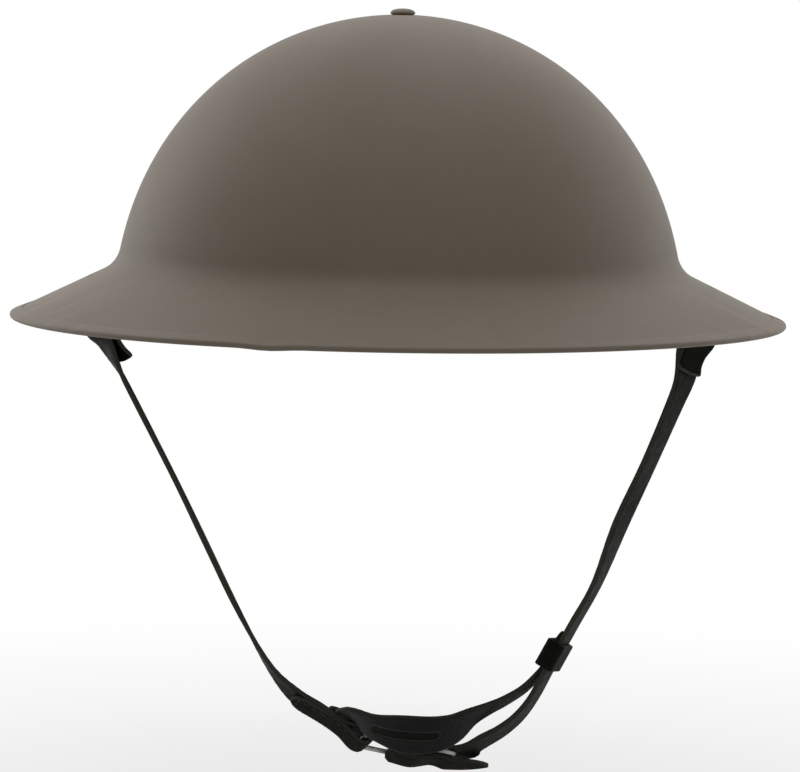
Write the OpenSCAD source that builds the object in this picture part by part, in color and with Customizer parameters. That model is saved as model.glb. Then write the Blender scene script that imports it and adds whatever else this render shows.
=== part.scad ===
// Wide-brimmed pressed steel helmet, with its riveted liner and its leather chin strap.
// Z is up, the front faces -Y, and the origin is where the crown of the head bears on the liner.
// Heights in the code are taken from the lowest line of the brim, and each part is let down last.

/* [Shell] */
// Width of the brim, side to side
brim_w = 292; // [286:1:302]
// Length of the brim, front to back
brim_l = 311; // [304:1:322]
// Width of the bowl where its curve would stand upright
bowl_w = 215; // [211:1:219]
// Length of the bowl at the same place
bowl_l = 236; // [230:1:240]
// Height of the crown above the lowest line of the brim
crown_h = 116.5; // [112:0.5:122]
// Depth of the full bowl curve, from the crown down to its upright tangent
dome_depth = 120.5; // [117:0.5:124]
// Fullness of the bowl curve, where 2 is an ellipse
dome_power = 2.15; // [2:0.05:2.4]
// Slope of the brim, in degrees
brim_slope = 24.5; // [20:0.5:28]
// Height of the blend between bowl and brim
fillet_h = 7; // [5:0.5:9]
// Thickness of the steel
shell_t = 1; // [0.8:0.1:1.4]

/* [Rim strip] */
// Thickness of the folded strip on the brim's edge
rim_t = 0.5; // [0.4:0.1:0.7]
// Play between the strip and the steel
rim_gap = 0.1; // [0.08:0.01:0.15]
// How far the strip reaches in from the edge
rim_depth = 4.5; // [3:0.5:7]
// Gap where the two ends of the strip meet
rim_split = 1.2; // [0.6:0.2:3]

/* [Crown rivet] */
// Diameter of the rivet's head
crown_head_d = 9.4; // [8:0.2:12]
// Height of the rivet's head
crown_head_h = 2.2; // [1.4:0.1:3]
// Diameter of the rivet's shank
crown_shank_d = 4.6; // [4:0.2:5.4]
// Diameter of the washer inside
washer_d = 16; // [13:0.5:20]
// Thickness of the washer
washer_t = 1; // [0.8:0.1:1.6]

/* [Liner] */
// Height of the point where the head bears, above the lowest line of the brim
seat_h = 86; // [82:1:90]
// Width of the two crossing cradle strips
cradle_w = 20; // [14:1:26]
// Thickness of a cradle strip
cradle_t = 1.2; // [1:0.1:1.6]
// Space left between the bowl and the outer band at the band's top
band_space = 3.8; // [3.6:0.2:5]
// Height of the outer band
band_h = 22; // [18:1:24]
// Height of the outer band's lower edge above the lowest line of the brim
band_z = 16; // [14:1:18]
// Thickness of the outer band
band_t = 1.2; // [1:0.1:1.6]
// Outside diameter of a rubber buffer
buffer_d = 11; // [10:0.2:12.4]
// Bore of a rubber buffer
buffer_bore = 6; // [5:0.5:7]
// Height of a rubber buffer
buffer_h = 20; // [14:1:21]
// Number of rubber buffers
buffer_count = 12; // [8:4:12]
// Thickness of the leather head band
head_band_t = 2; // [1.6:0.2:2.6]
// Height of the leather head band
head_band_h = 32; // [28:1:34]
// Thickness of a leather tongue
tongue_t = 1.4; // [1.2:0.1:1.8]
// Width of a tongue at its round end
tongue_end_w = 16; // [14:1:18]
// Number of tongues
tongue_count = 8; // [6:2:8]
// Radius of the ring in which the drawstring runs
draw_r = 29; // [26:1:32]
// Diameter of the drawstring
draw_d = 2; // [1.6:0.2:2.2]
// Diameter of the eyelet at the end of each tongue
eyelet_d = 4.6; // [4.4:0.2:5.4]
// Diameter of the felt pad under the crown
pad_d = 84; // [60:2:96]
// Thickness of the felt pad
pad_t = 7; // [4:0.5:9]
// Diameter of the heads of the small rivets
small_head_d = 4.6; // [4:0.2:5.4]
// Diameter of the shanks of the small rivets
small_shank_d = 1.8; // [1.4:0.1:2]

/* [Strap lugs and bails] */
// Distance of the lugs out from the bowl's widest line
lug_out = 7.5; // [6:0.5:9]
// Height of the lug's bar above the lowest line of the brim
lug_bar_z = 1.4; // [0.8:0.2:2]
// Half the inside width of the lug's bar
lug_half = 10.6; // [10.2:0.2:11.4]
// Diameter of the lug's wire
lug_wire_d = 2; // [1.6:0.1:2.4]
// Width of the lug's plate, front to back
lug_plate_w = 13; // [12:0.5:16]
// Thickness of the lug's plate
lug_plate_t = 1.2; // [1:0.1:1.4]
// Diameter of the wire of a bail
bail_wire_d = 2.2; // [1.8:0.1:2.4]
// Distance between the two bars of a bail
bail_h = 9; // [8:0.5:12]

/* [Chin strap] */
// Width of the strap
strap_w = 15.5; // [14:0.5:16]
// Thickness of the strap
strap_t = 1.7; // [1.4:0.1:2]
// Drop of the buckle's left bar below the lowest line of the brim
strap_drop = 157.5; // [150:0.5:170]
// Distance of the buckle's left bar to the side of the middle
buckle_x = 13; // [11:0.5:15]
// Length of the buckle between its end bars
buckle_l = 34.5; // [33:0.5:37]
// Inside width of the buckle
buckle_in = 19; // [18.4:0.2:22]
// Diameter of the buckle's wire
buckle_wire_d = 2; // [1.6:0.1:2.2]
// Place of the sliding bar along the buckle, from the left bar
slide_at = 14; // [12:0.5:16]
// Length of the slot in the chin piece
slot_l = 22; // [14:1:26]
// Width of the slot in the chin piece
slot_w = 3.6; // [2.4:0.2:4]
// Length of the keeper along the strap
keeper_l = 11; // [8:0.5:13]
// Wall of the keeper
keeper_t = 1.6; // [1.2:0.2:2]

/* [Hidden] */

// Fits and fine clearances
fit = 0.1;
play = 0.2;
slack = 0.3;
round_fn = 48;

// Facets of the pressed shell
slices = 72;
dome_steps = 16;
blend_steps = 5;
brim_steps = 3;
nose_steps = 5;

// The steel's edge inside the folded strip, and the same point on the steel's upper face
rim_half = shell_t / 2 + rim_gap + rim_t;
edge_mid = [brim_w / 2 - rim_half, rim_half];
slope_out = [cos(brim_slope), -sin(brim_slope)];
slope_up = [sin(brim_slope), cos(brim_slope)];
edge_top = edge_mid + slope_up * shell_t / 2;

// Plan proportions of the bowl and of the brim
bowl_k = bowl_l / bowl_w;
brim_k = brim_l / brim_w;

// Small vector helpers
function unit(v) = v / norm(v);
function mix(a, b, t) = a + (b - a) * t;
function limit(v, low, high) = min(max(v, low), high);
function xyz(p) = [p[0], p[1], p[2]];

// Ratio of length to width at a radius r: the bowl's inside, the brim's at its edge
function plan_k(r) = mix(bowl_k, brim_k, limit((r - bowl_w / 2) / (brim_w / 2 - bowl_w / 2), 0, 1));
function plan_point(p, a) = [p[0] * cos(a), p[0] * plan_k(p[0]) * sin(a), p[1]];

// Side profile of the bowl at an angle from the base, d inside its outer face
dome_base = crown_h - dome_depth;
function dome(a, d = 0) =
  [(bowl_w / 2 - d) * cos(a), dome_base + (dome_depth - d) * pow(sin(a), 2 / dome_power)];
function dome_angle(z) = asin(pow((z - dome_base) / dome_depth, dome_power / 2));

// The blend starts on the bowl and runs into the straight brim, as a curve with one corner point
corner_z = edge_top[1] + tan(brim_slope) * (edge_top[0] - bowl_w / 2);
blend_a = dome_angle(corner_z + fillet_h);
blend_start = dome(blend_a);
blend_dir = unit(dome(blend_a - 1) - blend_start);
blend_run = ((edge_top[1] - blend_start[1]) * slope_out[0] - (edge_top[0] - blend_start[0]) * slope_out[1])
  / (blend_dir[1] * slope_out[0] - blend_dir[0] * slope_out[1]);
blend_corner = blend_start + blend_dir * blend_run;
blend_end = blend_corner + slope_out * blend_run;
function blend(t) = mix(mix(blend_start, blend_corner, t), mix(blend_corner, blend_end, t), t);

crown_hole_r = crown_shank_d / 2 + fit;
crown_a = acos(crown_hole_r / (bowl_w / 2));
outer_profile = concat(
  [for (i = [0:dome_steps - 1]) dome(mix(crown_a, blend_a, i / dome_steps))],
  [for (i = [0:blend_steps - 1]) blend(i / blend_steps)],
  [for (i = [0:brim_steps]) mix(blend_end, edge_top, i / brim_steps)]);

// A profile moved square to itself, inwards for a positive distance
function profile_dir(p, i) = unit(p[min(i + 1, len(p) - 1)] - p[max(i - 1, 0)]);
function shifted(p, d) = [for (i = [0:len(p) - 1]) let (t = profile_dir(p, i)) p[i] + [t[1], -t[0]] * d];
inner_profile = shifted(outer_profile, shell_t);
function reversed(v) = [for (i = [len(v) - 1:-1:0]) v[i]];

// Lets a part down so that the origin lies at the head's seat
module seated() translate([0, 0, -seat_h]) children();

// Places children on three given unit axes at a point
module on_axes(c, x, y, z)
  multmatrix([[x[0], y[0], z[0], c[0]], [x[1], y[1], z[1], c[1]], [x[2], y[2], z[2], c[2]]])
    children();

// Bent wire ring in the plane of X and Y, its sizes taken between the middles of the wire
wire_bend = 0.7;
module wire_loop(x, y, d) {
  r = wire_bend * d;
  for (s = [-1, 1]) {
    translate([r - x / 2, s * y / 2, 0]) rotate([0, 90, 0]) cylinder(d = d, h = x - 2 * r, $fn = round_fn);
    translate([s * x / 2, r - y / 2, 0]) rotate([-90, 0, 0]) cylinder(d = d, h = y - 2 * r, $fn = round_fn);
  }
  for (q = [0:3]) translate([(q == 0 || q == 3 ? 1 : -1) * (x / 2 - r), (q < 2 ? 1 : -1) * (y / 2 - r), 0])
    rotate([0, 0, 90 * q]) rotate_extrude(angle = 90, $fn = round_fn) translate([r, 0]) circle(d = d);
}

// Closed skin over a list of rings, joined end to end when loop is true, with flat ends otherwise
module skin(rings, loop = false) {
  n = len(rings);
  m = len(rings[0]);
  points = [for (r = rings) each r];
  sides = [for (i = [0:loop ? n - 1 : n - 2]) for (j = [0:m - 1])
    let (next = ((i + 1) % n) * m, k = (j + 1) % m)
    each [[i * m + j, i * m + k, next + k], [i * m + j, next + k, next + j]]];
  ends = loop ? [] : [[for (j = [m - 1:-1:0]) j], [for (j = [0:m - 1]) (n - 1) * m + j]];
  polyhedron(points, concat(sides, ends), convexity = 10);
}

// Sheet between two grids of points of one size, the first grid on its outer face
module sheet(top, under) {
  n = len(top);
  m = len(top[0]);
  skin([for (i = [0:n - 1]) concat(top[i], reversed(under[i]))]);
}

// Pressed bowl and brim in one piece
module shell() {
  section = concat(inner_profile, reversed(outer_profile));
  color("#7a7064") seated() difference() {
    skin([for (i = [0:slices - 1]) [for (p = section) plan_point(p, 360 * i / slices)]], loop = true);
    lug_rivet_places() cylinder(d = lug_rivet_d + 2 * fit, h = lug_rivet_l, center = true, $fn = round_fn);
  }
}

// Thin steel strip folded over the brim's edge, its two ends a little apart at the wearer's left
module rim_strip() {
  inside = shell_t / 2 + rim_gap;
  legs = [[-rim_depth, rim_half], [-rim_depth, inside]];
  section = concat([legs[0]], [for (i = [0:nose_steps]) let (a = 90 - 180 * i / nose_steps)
      rim_half * [cos(a), sin(a)]],
    [[-rim_depth, -rim_half], [-rim_depth, -inside]],
    [for (i = [0:nose_steps]) let (a = -90 + 180 * i / nose_steps) inside * [cos(a), sin(a)]], [legs[1]]);
  half_split = asin(rim_split / brim_w);
  turns = concat([half_split], [for (i = [1:slices - 1]) 360 * i / slices], [360 - half_split]);
  color("#6f665b") seated() skin([for (a = turns) [for (p = reversed(section))
    plan_point(edge_mid + slope_out * p[0] + slope_up * p[1], a)]]);
}

// Depths under the crown: the two cradle strips, then the washer, then the rivet's clenched tail
strip_1_d = shell_t + play;
strip_2_d = strip_1_d + cradle_t + slack;
washer_z = dome(acos(washer_d / bowl_w), strip_2_d + cradle_t + slack + fit)[1];

module crown_rivet() {
  tail_h = 1.2;
  head_ball_r = (pow(crown_head_d / 2, 2) + pow(crown_head_h, 2)) / (2 * crown_head_h);
  color("#6b6257") seated() {
    translate([0, 0, crown_h]) intersection() {
      translate([0, 0, crown_head_h - head_ball_r]) sphere(r = head_ball_r, $fn = 96);
      cylinder(d = crown_head_d, h = crown_head_h, $fn = 96);
    }
    translate([0, 0, washer_z - washer_t - tail_h])
      cylinder(d = crown_shank_d, h = crown_h + tail_h + washer_t - washer_z, $fn = round_fn);
    translate([0, 0, washer_z - washer_t - tail_h]) cylinder(d = crown_head_d, h = tail_h, $fn = round_fn);
  }
}

module crown_washer() color("#8a8578") seated() translate([0, 0, washer_z - washer_t]) difference() {
  cylinder(d = washer_d, h = washer_t, $fn = round_fn);
  cylinder(d = crown_shank_d + 2 * fit, h = 3 * washer_t, center = true, $fn = round_fn);
}

// Plan half sizes of the bands, taken in from the bowl's inner face at the outer band's top
band_top_z = band_z + band_h;
wall_at_band = dome(dome_angle(band_top_z))[0] - shell_t;
band_a = wall_at_band - band_space;
band_half = [band_a, band_a * bowl_k];
buffer_line = band_half - [1, 1] * (band_t + play + buffer_d / 2);
head_half = buffer_line - [1, 1] * (buffer_d / 2 + play);
head_band_z = band_z + (band_h - head_band_h) / 2;
buffer_z = band_z + (band_h - buffer_h) / 2;
band_mid_z = band_z + band_h / 2;

// Strip that hugs the inside of the bowl and runs straight down the outer band at both ends
cradle_steps = 20;
cradle_foot = 7;
cradle_lift = 1.4;
function strip_point(a, across, d, k_along, k_across, stop) =
  let (e = pow(across / (k_across * (bowl_w / 2 - d)), 2),
    reach = k_along * (bowl_w / 2 - d) * cos(a) * sqrt(1 - e),
    z = dome_base + (dome_depth - d) * pow(1 - e, 1 / dome_power) * pow(sin(a), 2 / dome_power))
  [limit(reach, -stop, stop), across, z];
module cradle_strip(d, k_along, k_across, stop) {
  low_a = dome_angle(band_z + cradle_foot);
  top_a = dome_angle(band_top_z + cradle_lift);
  angles = concat([180 - low_a], [for (i = [0:cradle_steps]) mix(180 - top_a, top_a, i / cradle_steps)],
    [low_a]);
  lanes = [for (j = [0:3]) mix(-cradle_w / 2, cradle_w / 2, j / 3)];
  difference() {
    sheet([for (a = angles) [for (y = lanes) strip_point(a, y, d, k_along, k_across, stop + cradle_t)]],
      [for (a = angles) [for (y = lanes) strip_point(a, y, d + cradle_t, k_along, k_across, stop)]]);
    cylinder(d = crown_shank_d + 2 * fit, h = 2 * crown_h, $fn = round_fn);
    for (s = [-1, 1]) translate([s * (stop + cradle_t / 2), 0, band_mid_z]) rotate([0, 90, 0])
      cylinder(d = small_shank_d + 2 * fit, h = 4 * cradle_t, center = true, $fn = round_fn);
  }
}
module cradle_strip_sideways()
  color("#4a4136") seated() cradle_strip(strip_1_d, 1, bowl_k, band_half[0] + 1.5 * fit);
module cradle_strip_lengthways()
  color("#4a4136") seated() rotate([0, 0, 90]) cradle_strip(strip_2_d, bowl_k, 1, band_half[1] + 1.5 * fit);

// Upright oval ring, t thick inside its half sizes
module oval_band(half, t, h) linear_extrude(height = h) difference() {
  polygon([for (i = [0:slices - 1]) let (a = 360 * i / slices) [half[0] * cos(a), half[1] * sin(a)]]);
  polygon([for (i = [0:slices - 1]) let (a = 360 * i / slices)
    [(half[0] - t) * cos(a), (half[1] - t) * sin(a)]]);
}

// Stands children on an oval at a plan angle, their X axis square out of it
module on_oval(half, a) translate([half[0] * cos(a), half[1] * sin(a), 0])
  rotate([0, 0, atan2(half[0] * sin(a), half[1] * cos(a))]) children();
buffer_step = 360 / buffer_count;
module at_buffers() for (i = [0:buffer_count - 1])
  on_oval(buffer_line, buffer_step * (i + 0.5)) translate([0, 0, band_mid_z]) children();
module at_quarters(half) for (i = [0:3]) on_oval(half, 90 * i) translate([0, 0, band_mid_z]) children();
module cross_hole() rotate([0, 90, 0])
  cylinder(d = small_shank_d + 2 * fit, h = 2 * buffer_d, center = true, $fn = round_fn);

module outer_band() color("#57493a") seated() difference() {
  translate([0, 0, band_z]) oval_band(band_half, band_t, band_h);
  at_buffers() cross_hole();
  at_quarters(band_half) cross_hole();
}

// Small rivet along X, from its head's seat at x = 0 inwards to its tail
small_head_h = 1;
tail_t = 0.6;
module small_rivet(grip, tail_d) {
  rotate([0, 90, 0]) cylinder(d1 = small_head_d, d2 = small_head_d / 2, h = small_head_h, $fn = round_fn);
  translate([-grip - tail_t, 0, 0]) rotate([0, 90, 0])
    cylinder(d = small_shank_d, h = grip + tail_t, $fn = round_fn);
  translate([-grip - tail_t, 0, 0]) rotate([0, 90, 0]) cylinder(d = tail_d, h = tail_t, $fn = round_fn);
}
module cradle_rivets() color("#9a8a5c") seated()
  at_quarters(band_half) translate([cradle_t + 2.5 * fit, 0, 0])
    small_rivet(cradle_t + band_t + 4 * fit, small_head_d - 1);

// Rubber tubes that stand between the two bands, riveted to each through one wall
module rubber_buffers() color("#3a332d") seated() at_buffers() difference() {
  cylinder(d = buffer_d, h = buffer_h, center = true, $fn = round_fn);
  cylinder(d = buffer_bore, h = 2 * buffer_h, center = true, $fn = round_fn);
  cross_hole();
}
tail_d = buffer_bore / 2;
tail_seat = sqrt(pow(buffer_bore / 2, 2) - pow(tail_d / 2, 2)) - fit;
module buffer_rivet(t) {
  head_seat = buffer_d / 2 + play + t + 1.5 * fit;
  translate([head_seat, 0, 0]) small_rivet(head_seat - tail_seat, tail_d);
}
module buffer_rivets() color("#9a8a5c") seated() at_buffers() buffer_rivet(band_t);

module head_band() color("#5b4330") seated() difference() {
  translate([0, 0, head_band_z]) oval_band(head_half, head_band_t, head_band_h);
  at_buffers() cross_hole();
}
module head_band_rivets() color("#9a8a5c") seated()
  at_buffers() rotate([0, 0, 180]) buffer_rivet(head_band_t);

// Tongues rise from the head band and lean in to the drawstring, each with a round end
tongue_steps = 8;
tongue_lanes = 4;
tongue_lap = 6;
tongue_gap = 5;
head_top_z = head_band_z + head_band_h;
tongue_top_z = seat_h + slack;
tongue_tip_r = draw_r - tongue_end_w / 2;
tongue_span = 360 / tongue_count;
// A tongue is a quarter turn from the band, u its share, and lies flat from tongue_leaf on
tongue_leaf = 0.87;
function tongue_mid(u, d) = let (a = limit(90 * u, 0, 90), lap = u < 0 ? tongue_lap : 0)
  [mix(tongue_tip_r, head_half[0] + slack + d, cos(a)), mix(tongue_tip_r, head_half[1] + slack + d, cos(a)),
    mix(head_top_z, tongue_top_z + d, min(sin(a) / sin(90 * tongue_leaf), 1)) - lap];
function tongue_half_w(r) = min(r * sin(tongue_span / 2) - tongue_gap / 2,
  sqrt(pow(tongue_end_w / 2, 2) - pow(max(draw_r - r, 0), 2)) + max(r - draw_r, 0));
function tongue_row(u, d, middle) = let (m = tongue_mid(u, d), half = asin(tongue_half_w(m[0]) / m[0]))
  [for (j = [0:tongue_lanes]) let (a = middle + half * (2 * j / tongue_lanes - 1))
    [m[0] * cos(a), m[1] * sin(a), m[2]]];
// Rows of a tongue from its round end, where they are close together, down to the band
tongue_us = concat([0.985, 0.96, 0.92], [for (i = [tongue_steps:-1:0]) tongue_leaf * i / tongue_steps], [-1]);
eyelet_fn = 20;
module at_eyelets() for (i = [0:tongue_count - 1]) rotate([0, 0, tongue_span * (i + 0.5)])
  translate([draw_r, 0, tongue_top_z]) children();
module liner_tongues() color("#634934") seated() difference() {
  for (i = [0:tongue_count - 1]) let (middle = tongue_span * (i + 0.5))
    sheet([for (u = tongue_us) tongue_row(u, tongue_t, middle)],
      [for (u = tongue_us) tongue_row(u, 0, middle)]);
  at_eyelets() cylinder(d = eyelet_d, h = 8 * tongue_t, center = true, $fn = eyelet_fn);
}

// Round tube along a list of points, with its start and end cut square
function route_dir(p, i) = unit(p[min(i + 1, len(p) - 1)] - p[max(i - 1, 0)]);
module tube(route, d, sides = 8) skin([for (i = [0:len(route) - 1])
  let (t = route_dir(route, i), side = unit(cross(t, [0, 0, 1])), up = cross(side, t))
  [for (j = [0:sides - 1]) let (a = 360 * j / sides) route[i] + d / 2 * (cos(a) * side + sin(a) * up)]]);

// The drawstring goes over one tongue's edge and under the next, through the eyelets
eyelet_z = tongue_mid(1, tongue_t / 2)[2];
weave_h = tongue_t / 2 + draw_d / 2 + slack;
weave_run = asin(eyelet_d / 2 / draw_r);
draw_tail = 15;
draw_tail_step = 5;
draw_turn_in = 1.5;
draw_knot_r = 1.6 * draw_d + fit;
draw_knot_at = 3;
// Places of the drawstring's points across a tongue, as shares of the tongue's span
draw_offsets = [-0.5, -0.3, -1 / 6, -1 / 12, 0, 1 / 12, 1 / 6, 0.3];
function weave(i, f) = let (t = limit(f * tongue_span / weave_run, -1, 1))
  (i % 2 == 0 ? -1 : 1) * weave_h * t * (1.5 - 0.5 * t * t);
draw_ring = [for (i = [0:tongue_count - 1]) for (f = draw_offsets) let (a = tongue_span * (i + 0.5 + f))
  [draw_r * cos(a), draw_r * sin(a), eyelet_z + weave(i, f)]];
draw_start = [for (k = [0:2])
  [draw_r - draw_tail + draw_tail_step * k, draw_d / 2 + fit, eyelet_z + weave_h]];
draw_body = [for (i = [1:len(draw_ring) - 1]) draw_ring[i]];
draw_route = concat(draw_start, [[draw_r - draw_turn_in, draw_d, eyelet_z + weave_h]],
  [for (i = [1:len(draw_body) - 1]) draw_body[i]],
  [[draw_r - draw_turn_in, -draw_d, eyelet_z + weave_h]],
  [for (p = reversed(draw_start)) [p[0], -p[1], p[2]]]);
module drawstring() color("#b5a787") seated() {
  tube(draw_route, draw_d);
  translate([draw_r - draw_tail + draw_knot_at, 0, eyelet_z + weave_h]) rotate([0, 90, 0])
    rotate_extrude($fn = round_fn) translate([draw_knot_r, 0]) circle(d = draw_d, $fn = 24);
}

// Felt pad that lies against the strips under the crown
pad_steps = 12;
module crown_pad() {
  top_d = strip_2_d + cradle_t + slack;
  low_a = acos(pad_d / bowl_w);
  angles = [for (i = [0:pad_steps]) mix(low_a, acos((washer_d / 2 + 1) / (bowl_w / 2)), i / pad_steps)];
  color("#8c8474") seated() rotate_extrude($fn = 96) polygon(concat(
    [for (a = angles) dome(a, top_d)], [for (a = reversed(angles)) dome(a, top_d + pad_t)]));
}

// Lugs: a riveted plate under the brim with a wire bar below it, on which the bail hangs
lug_x = bowl_w / 2 + lug_out;
function brim_under(x) = edge_top[1] + tan(brim_slope) * (edge_top[0] - x) - shell_t / cos(brim_slope);
lug_rivet_d = 3;
lug_rivet_l = 12;
lug_rivet_y = 4.2;
lug_head_h = 0.8;
module lug_rivet_places() for (s = [-1, 1]) for (y = [-1, 1])
  translate([s * lug_x, y * lug_rivet_y, brim_under(lug_x)]) rotate([0, s * brim_slope, 0]) children();
module lug() {
  wire_r = lug_wire_d / 2;
  plate_l = 2 * lug_half / cos(brim_slope) + lug_wire_d;
  color("#675e53") seated() {
    difference() {
      translate([lug_x, 0, brim_under(lug_x) - play]) rotate([0, brim_slope, 0])
        translate([-plate_l / 2, -lug_plate_w / 2, -lug_plate_t]) cube([plate_l, lug_plate_w, lug_plate_t]);
      lug_rivet_places() cylinder(d = lug_rivet_d + 2 * fit, h = lug_rivet_l, center = true, $fn = round_fn);
    }
    for (s = [-1, 1]) let (x = lug_x + s * lug_half) {
      translate([x, 0, lug_bar_z]) cylinder(r = wire_r,
        h = brim_under(x) - play - lug_plate_t / 2 / cos(brim_slope) - lug_bar_z, $fn = round_fn);
      translate([x, 0, lug_bar_z]) sphere(r = wire_r, $fn = round_fn);
    }
    translate([lug_x - lug_half, 0, lug_bar_z]) rotate([0, 90, 0])
      cylinder(r = wire_r, h = 2 * lug_half, $fn = round_fn);
  }
}
module right_lug() lug();
module left_lug() mirror([1, 0, 0]) lug();

// Rivets of the lugs, filed flush with the brim's upper face
module lug_rivets() color("#6f665b") seated() lug_rivet_places() {
  low = -play - fit - lug_plate_t - lug_head_h;
  translate([0, 0, low]) cylinder(d = lug_rivet_d, h = shell_t - low, $fn = round_fn);
  translate([0, 0, low]) cylinder(d1 = lug_rivet_d + lug_head_h, d2 = lug_rivet_d + 2 * lug_head_h,
    h = lug_head_h, $fn = round_fn);
}

// Directions of a strap at a point: run along it, width across it, and inner side towards the head
function strap_width(run, turn) =
  let (across = [0, 1, 0], side = unit(cross(run, across))) unit(cos(turn) * across + sin(turn) * side);

// How the straps leave the bails: lean from upright, and turn of the strap's width from the Y axis
hang_lean = 25;
left_turn = -32;
right_turn = -48;
left_down = [sin(hang_lean), 0, -cos(hang_lean)];
right_up = [sin(hang_lean), 0, cos(hang_lean)];
left_wide = strap_width(left_down, left_turn);
right_wide = strap_width(right_up, right_turn);
left_in = cross(left_down, left_wide);
right_in = cross(right_up, right_wide);

// The upper bar of a bail crosses over the lug's bar, and its lower bar carries the strap
wire_gap = (lug_wire_d + bail_wire_d) / 2 + fit;
function bail_top(side, wide) =
  let (n = unit(cross([1, 0, 0], wide))) [side * lug_x, 0, lug_bar_z] + (n[2] > 0 ? n : -n) * wire_gap;
left_top_bar = bail_top(-1, left_wide);
right_top_bar = bail_top(1, right_wide);
left_low_bar = left_top_bar + left_down * bail_h;
right_low_bar = right_top_bar - right_up * bail_h;
module bail(top, low, wide) {
  long = strap_w + 6 * slack + bail_wire_d;
  down = unit(low - top);
  color("#5d564c") seated() on_axes(mix(top, low, 0.5), wide, down, cross(wide, down))
    wire_loop(long, bail_h, bail_wire_d);
}
module left_bail() bail(left_top_bar, left_low_bar, left_wide);
module right_bail() bail(right_top_bar, right_low_bar, right_wide);

// Smooth line through points of any size, n steps between each pair
function spline_at(p, i, t) =
  let (a = p[max(i - 1, 0)], b = p[i], c = p[i + 1], d = p[min(i + 2, len(p) - 1)])
  0.5 * (2 * b + (c - a) * t + (2 * a - 5 * b + 4 * c - d) * t * t + (3 * b - a - 3 * c + d) * t * t * t);
function spline(p, n) = concat([for (i = [0:len(p) - 2]) for (k = [0:n - 1]) spline_at(p, i, k / n)],
  [p[len(p) - 1]]);

// Stations of a strap are pairs of a point and its width direction
function turned(p) = [for (i = [0:len(p) - 1])
  [xyz(p[i]), strap_width(unit(xyz(p[min(i + 1, len(p) - 1)]) - xyz(p[max(i - 1, 0)])), p[i][3]),
    len(p[i]) > 4 ? p[i][4] : strap_w]];
function bend(c, in, out, wide, r, a0, a1, n) = [for (k = [0:n])
  let (a = mix(a0, a1, k / n)) [c + r * (cos(a) * in + sin(a) * out), wide]];
// Width of a strap a distance from a rounded end, and from its point
round_l = 6;
point_l = 11;
point_curve = 1.5;
end_least = 0.06;
function end_w(d, l, curve) = strap_w * pow(1 - pow(1 - limit(d / l, end_least, 1), curve), 1 / curve);
function rounded_w(d) = end_w(d, round_l, 2);
function pointed_w(d) = end_w(d, point_l, point_curve);
strap_chamfer = 0.35;
function strap_outline(a, b, c) =
  [[a, b - c], [a, c - b], [a - c, -b], [c - a, -b], [-a, c - b], [-a, b - c], [c - a, b], [a - c, b]];
module strap(stations) {
  points = [for (s = stations) s[0]];
  skin([for (i = [0:len(stations) - 1]) let (t = route_dir(points, i), s = stations[i],
    wide = unit(s[1] - t * (s[1] * t)), in = cross(t, wide), w = len(s) > 2 ? s[2] : strap_w)
    [for (p = strap_outline(w / 2, strap_t / 2, strap_chamfer)) points[i] + wide * p[0] + in * p[1]]]);
}

// The buckle lies in its own plane: along it, across it and out of it towards the head
chape_run = unit([24, 0, -15]);
chape_turn = -16;
buckle_wide = strap_width(chape_run, chape_turn);
buckle_fall = 9;
buckle_flat = [cos(buckle_fall), 0, -sin(buckle_fall)];
buckle_run = unit(buckle_flat - buckle_wide * (buckle_flat * buckle_wide));
buckle_in_dir = cross(buckle_run, buckle_wide);
buckle_y = 7.5;
left_bar = [-buckle_x, buckle_y, -strap_drop];
function in_buckle(u, n) = left_bar + buckle_run * u + buckle_in_dir * n;
right_bar = in_buckle(buckle_l, 0);
wire_r = buckle_wire_d / 2;
wrap_r = wire_r + fit + strap_t / 2;
wrap_ease = 0.6;
loose_r = wrap_r + wrap_ease;
slide_drop = 1.9;
slide_bar = in_buckle(slide_at, -slide_drop);

// Two thicknesses of strap, face to face
layer = strap_t + fit;

// Left strap: folded over the bail, down the side, folded round the buckle's left bar and sewn back
hang_r = bail_wire_d / 2 + 2.5 * fit + strap_t / 2;
fold_run = 7;
lip_l = 5.5;
lip_flat = 4;
lip_rise = 1.4;
bend_steps = 8;
hang_straight = 6;
left_fold = bend(left_low_bar, left_in, -left_down, left_wide, hang_r, 0, 180, bend_steps);
left_leave = left_low_bar - left_in * layer / 2 + left_down * fold_run;
left_meet = left_leave + left_in * layer;
chape_in = cross(chape_run, buckle_wide);
chape_l = 27;
chape_flat = 8;
chape_wrap = [10, 170];
chape_top = left_bar + chape_in * loose_r;
chape_back = left_bar - chape_in * loose_r;
chape_start = left_bar + chape_in * layer / 2 - chape_run * chape_l;
left_arm_top = left_leave + left_down * hang_straight;
left_arm_end = chape_start - chape_run * round_l / 3;
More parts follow.
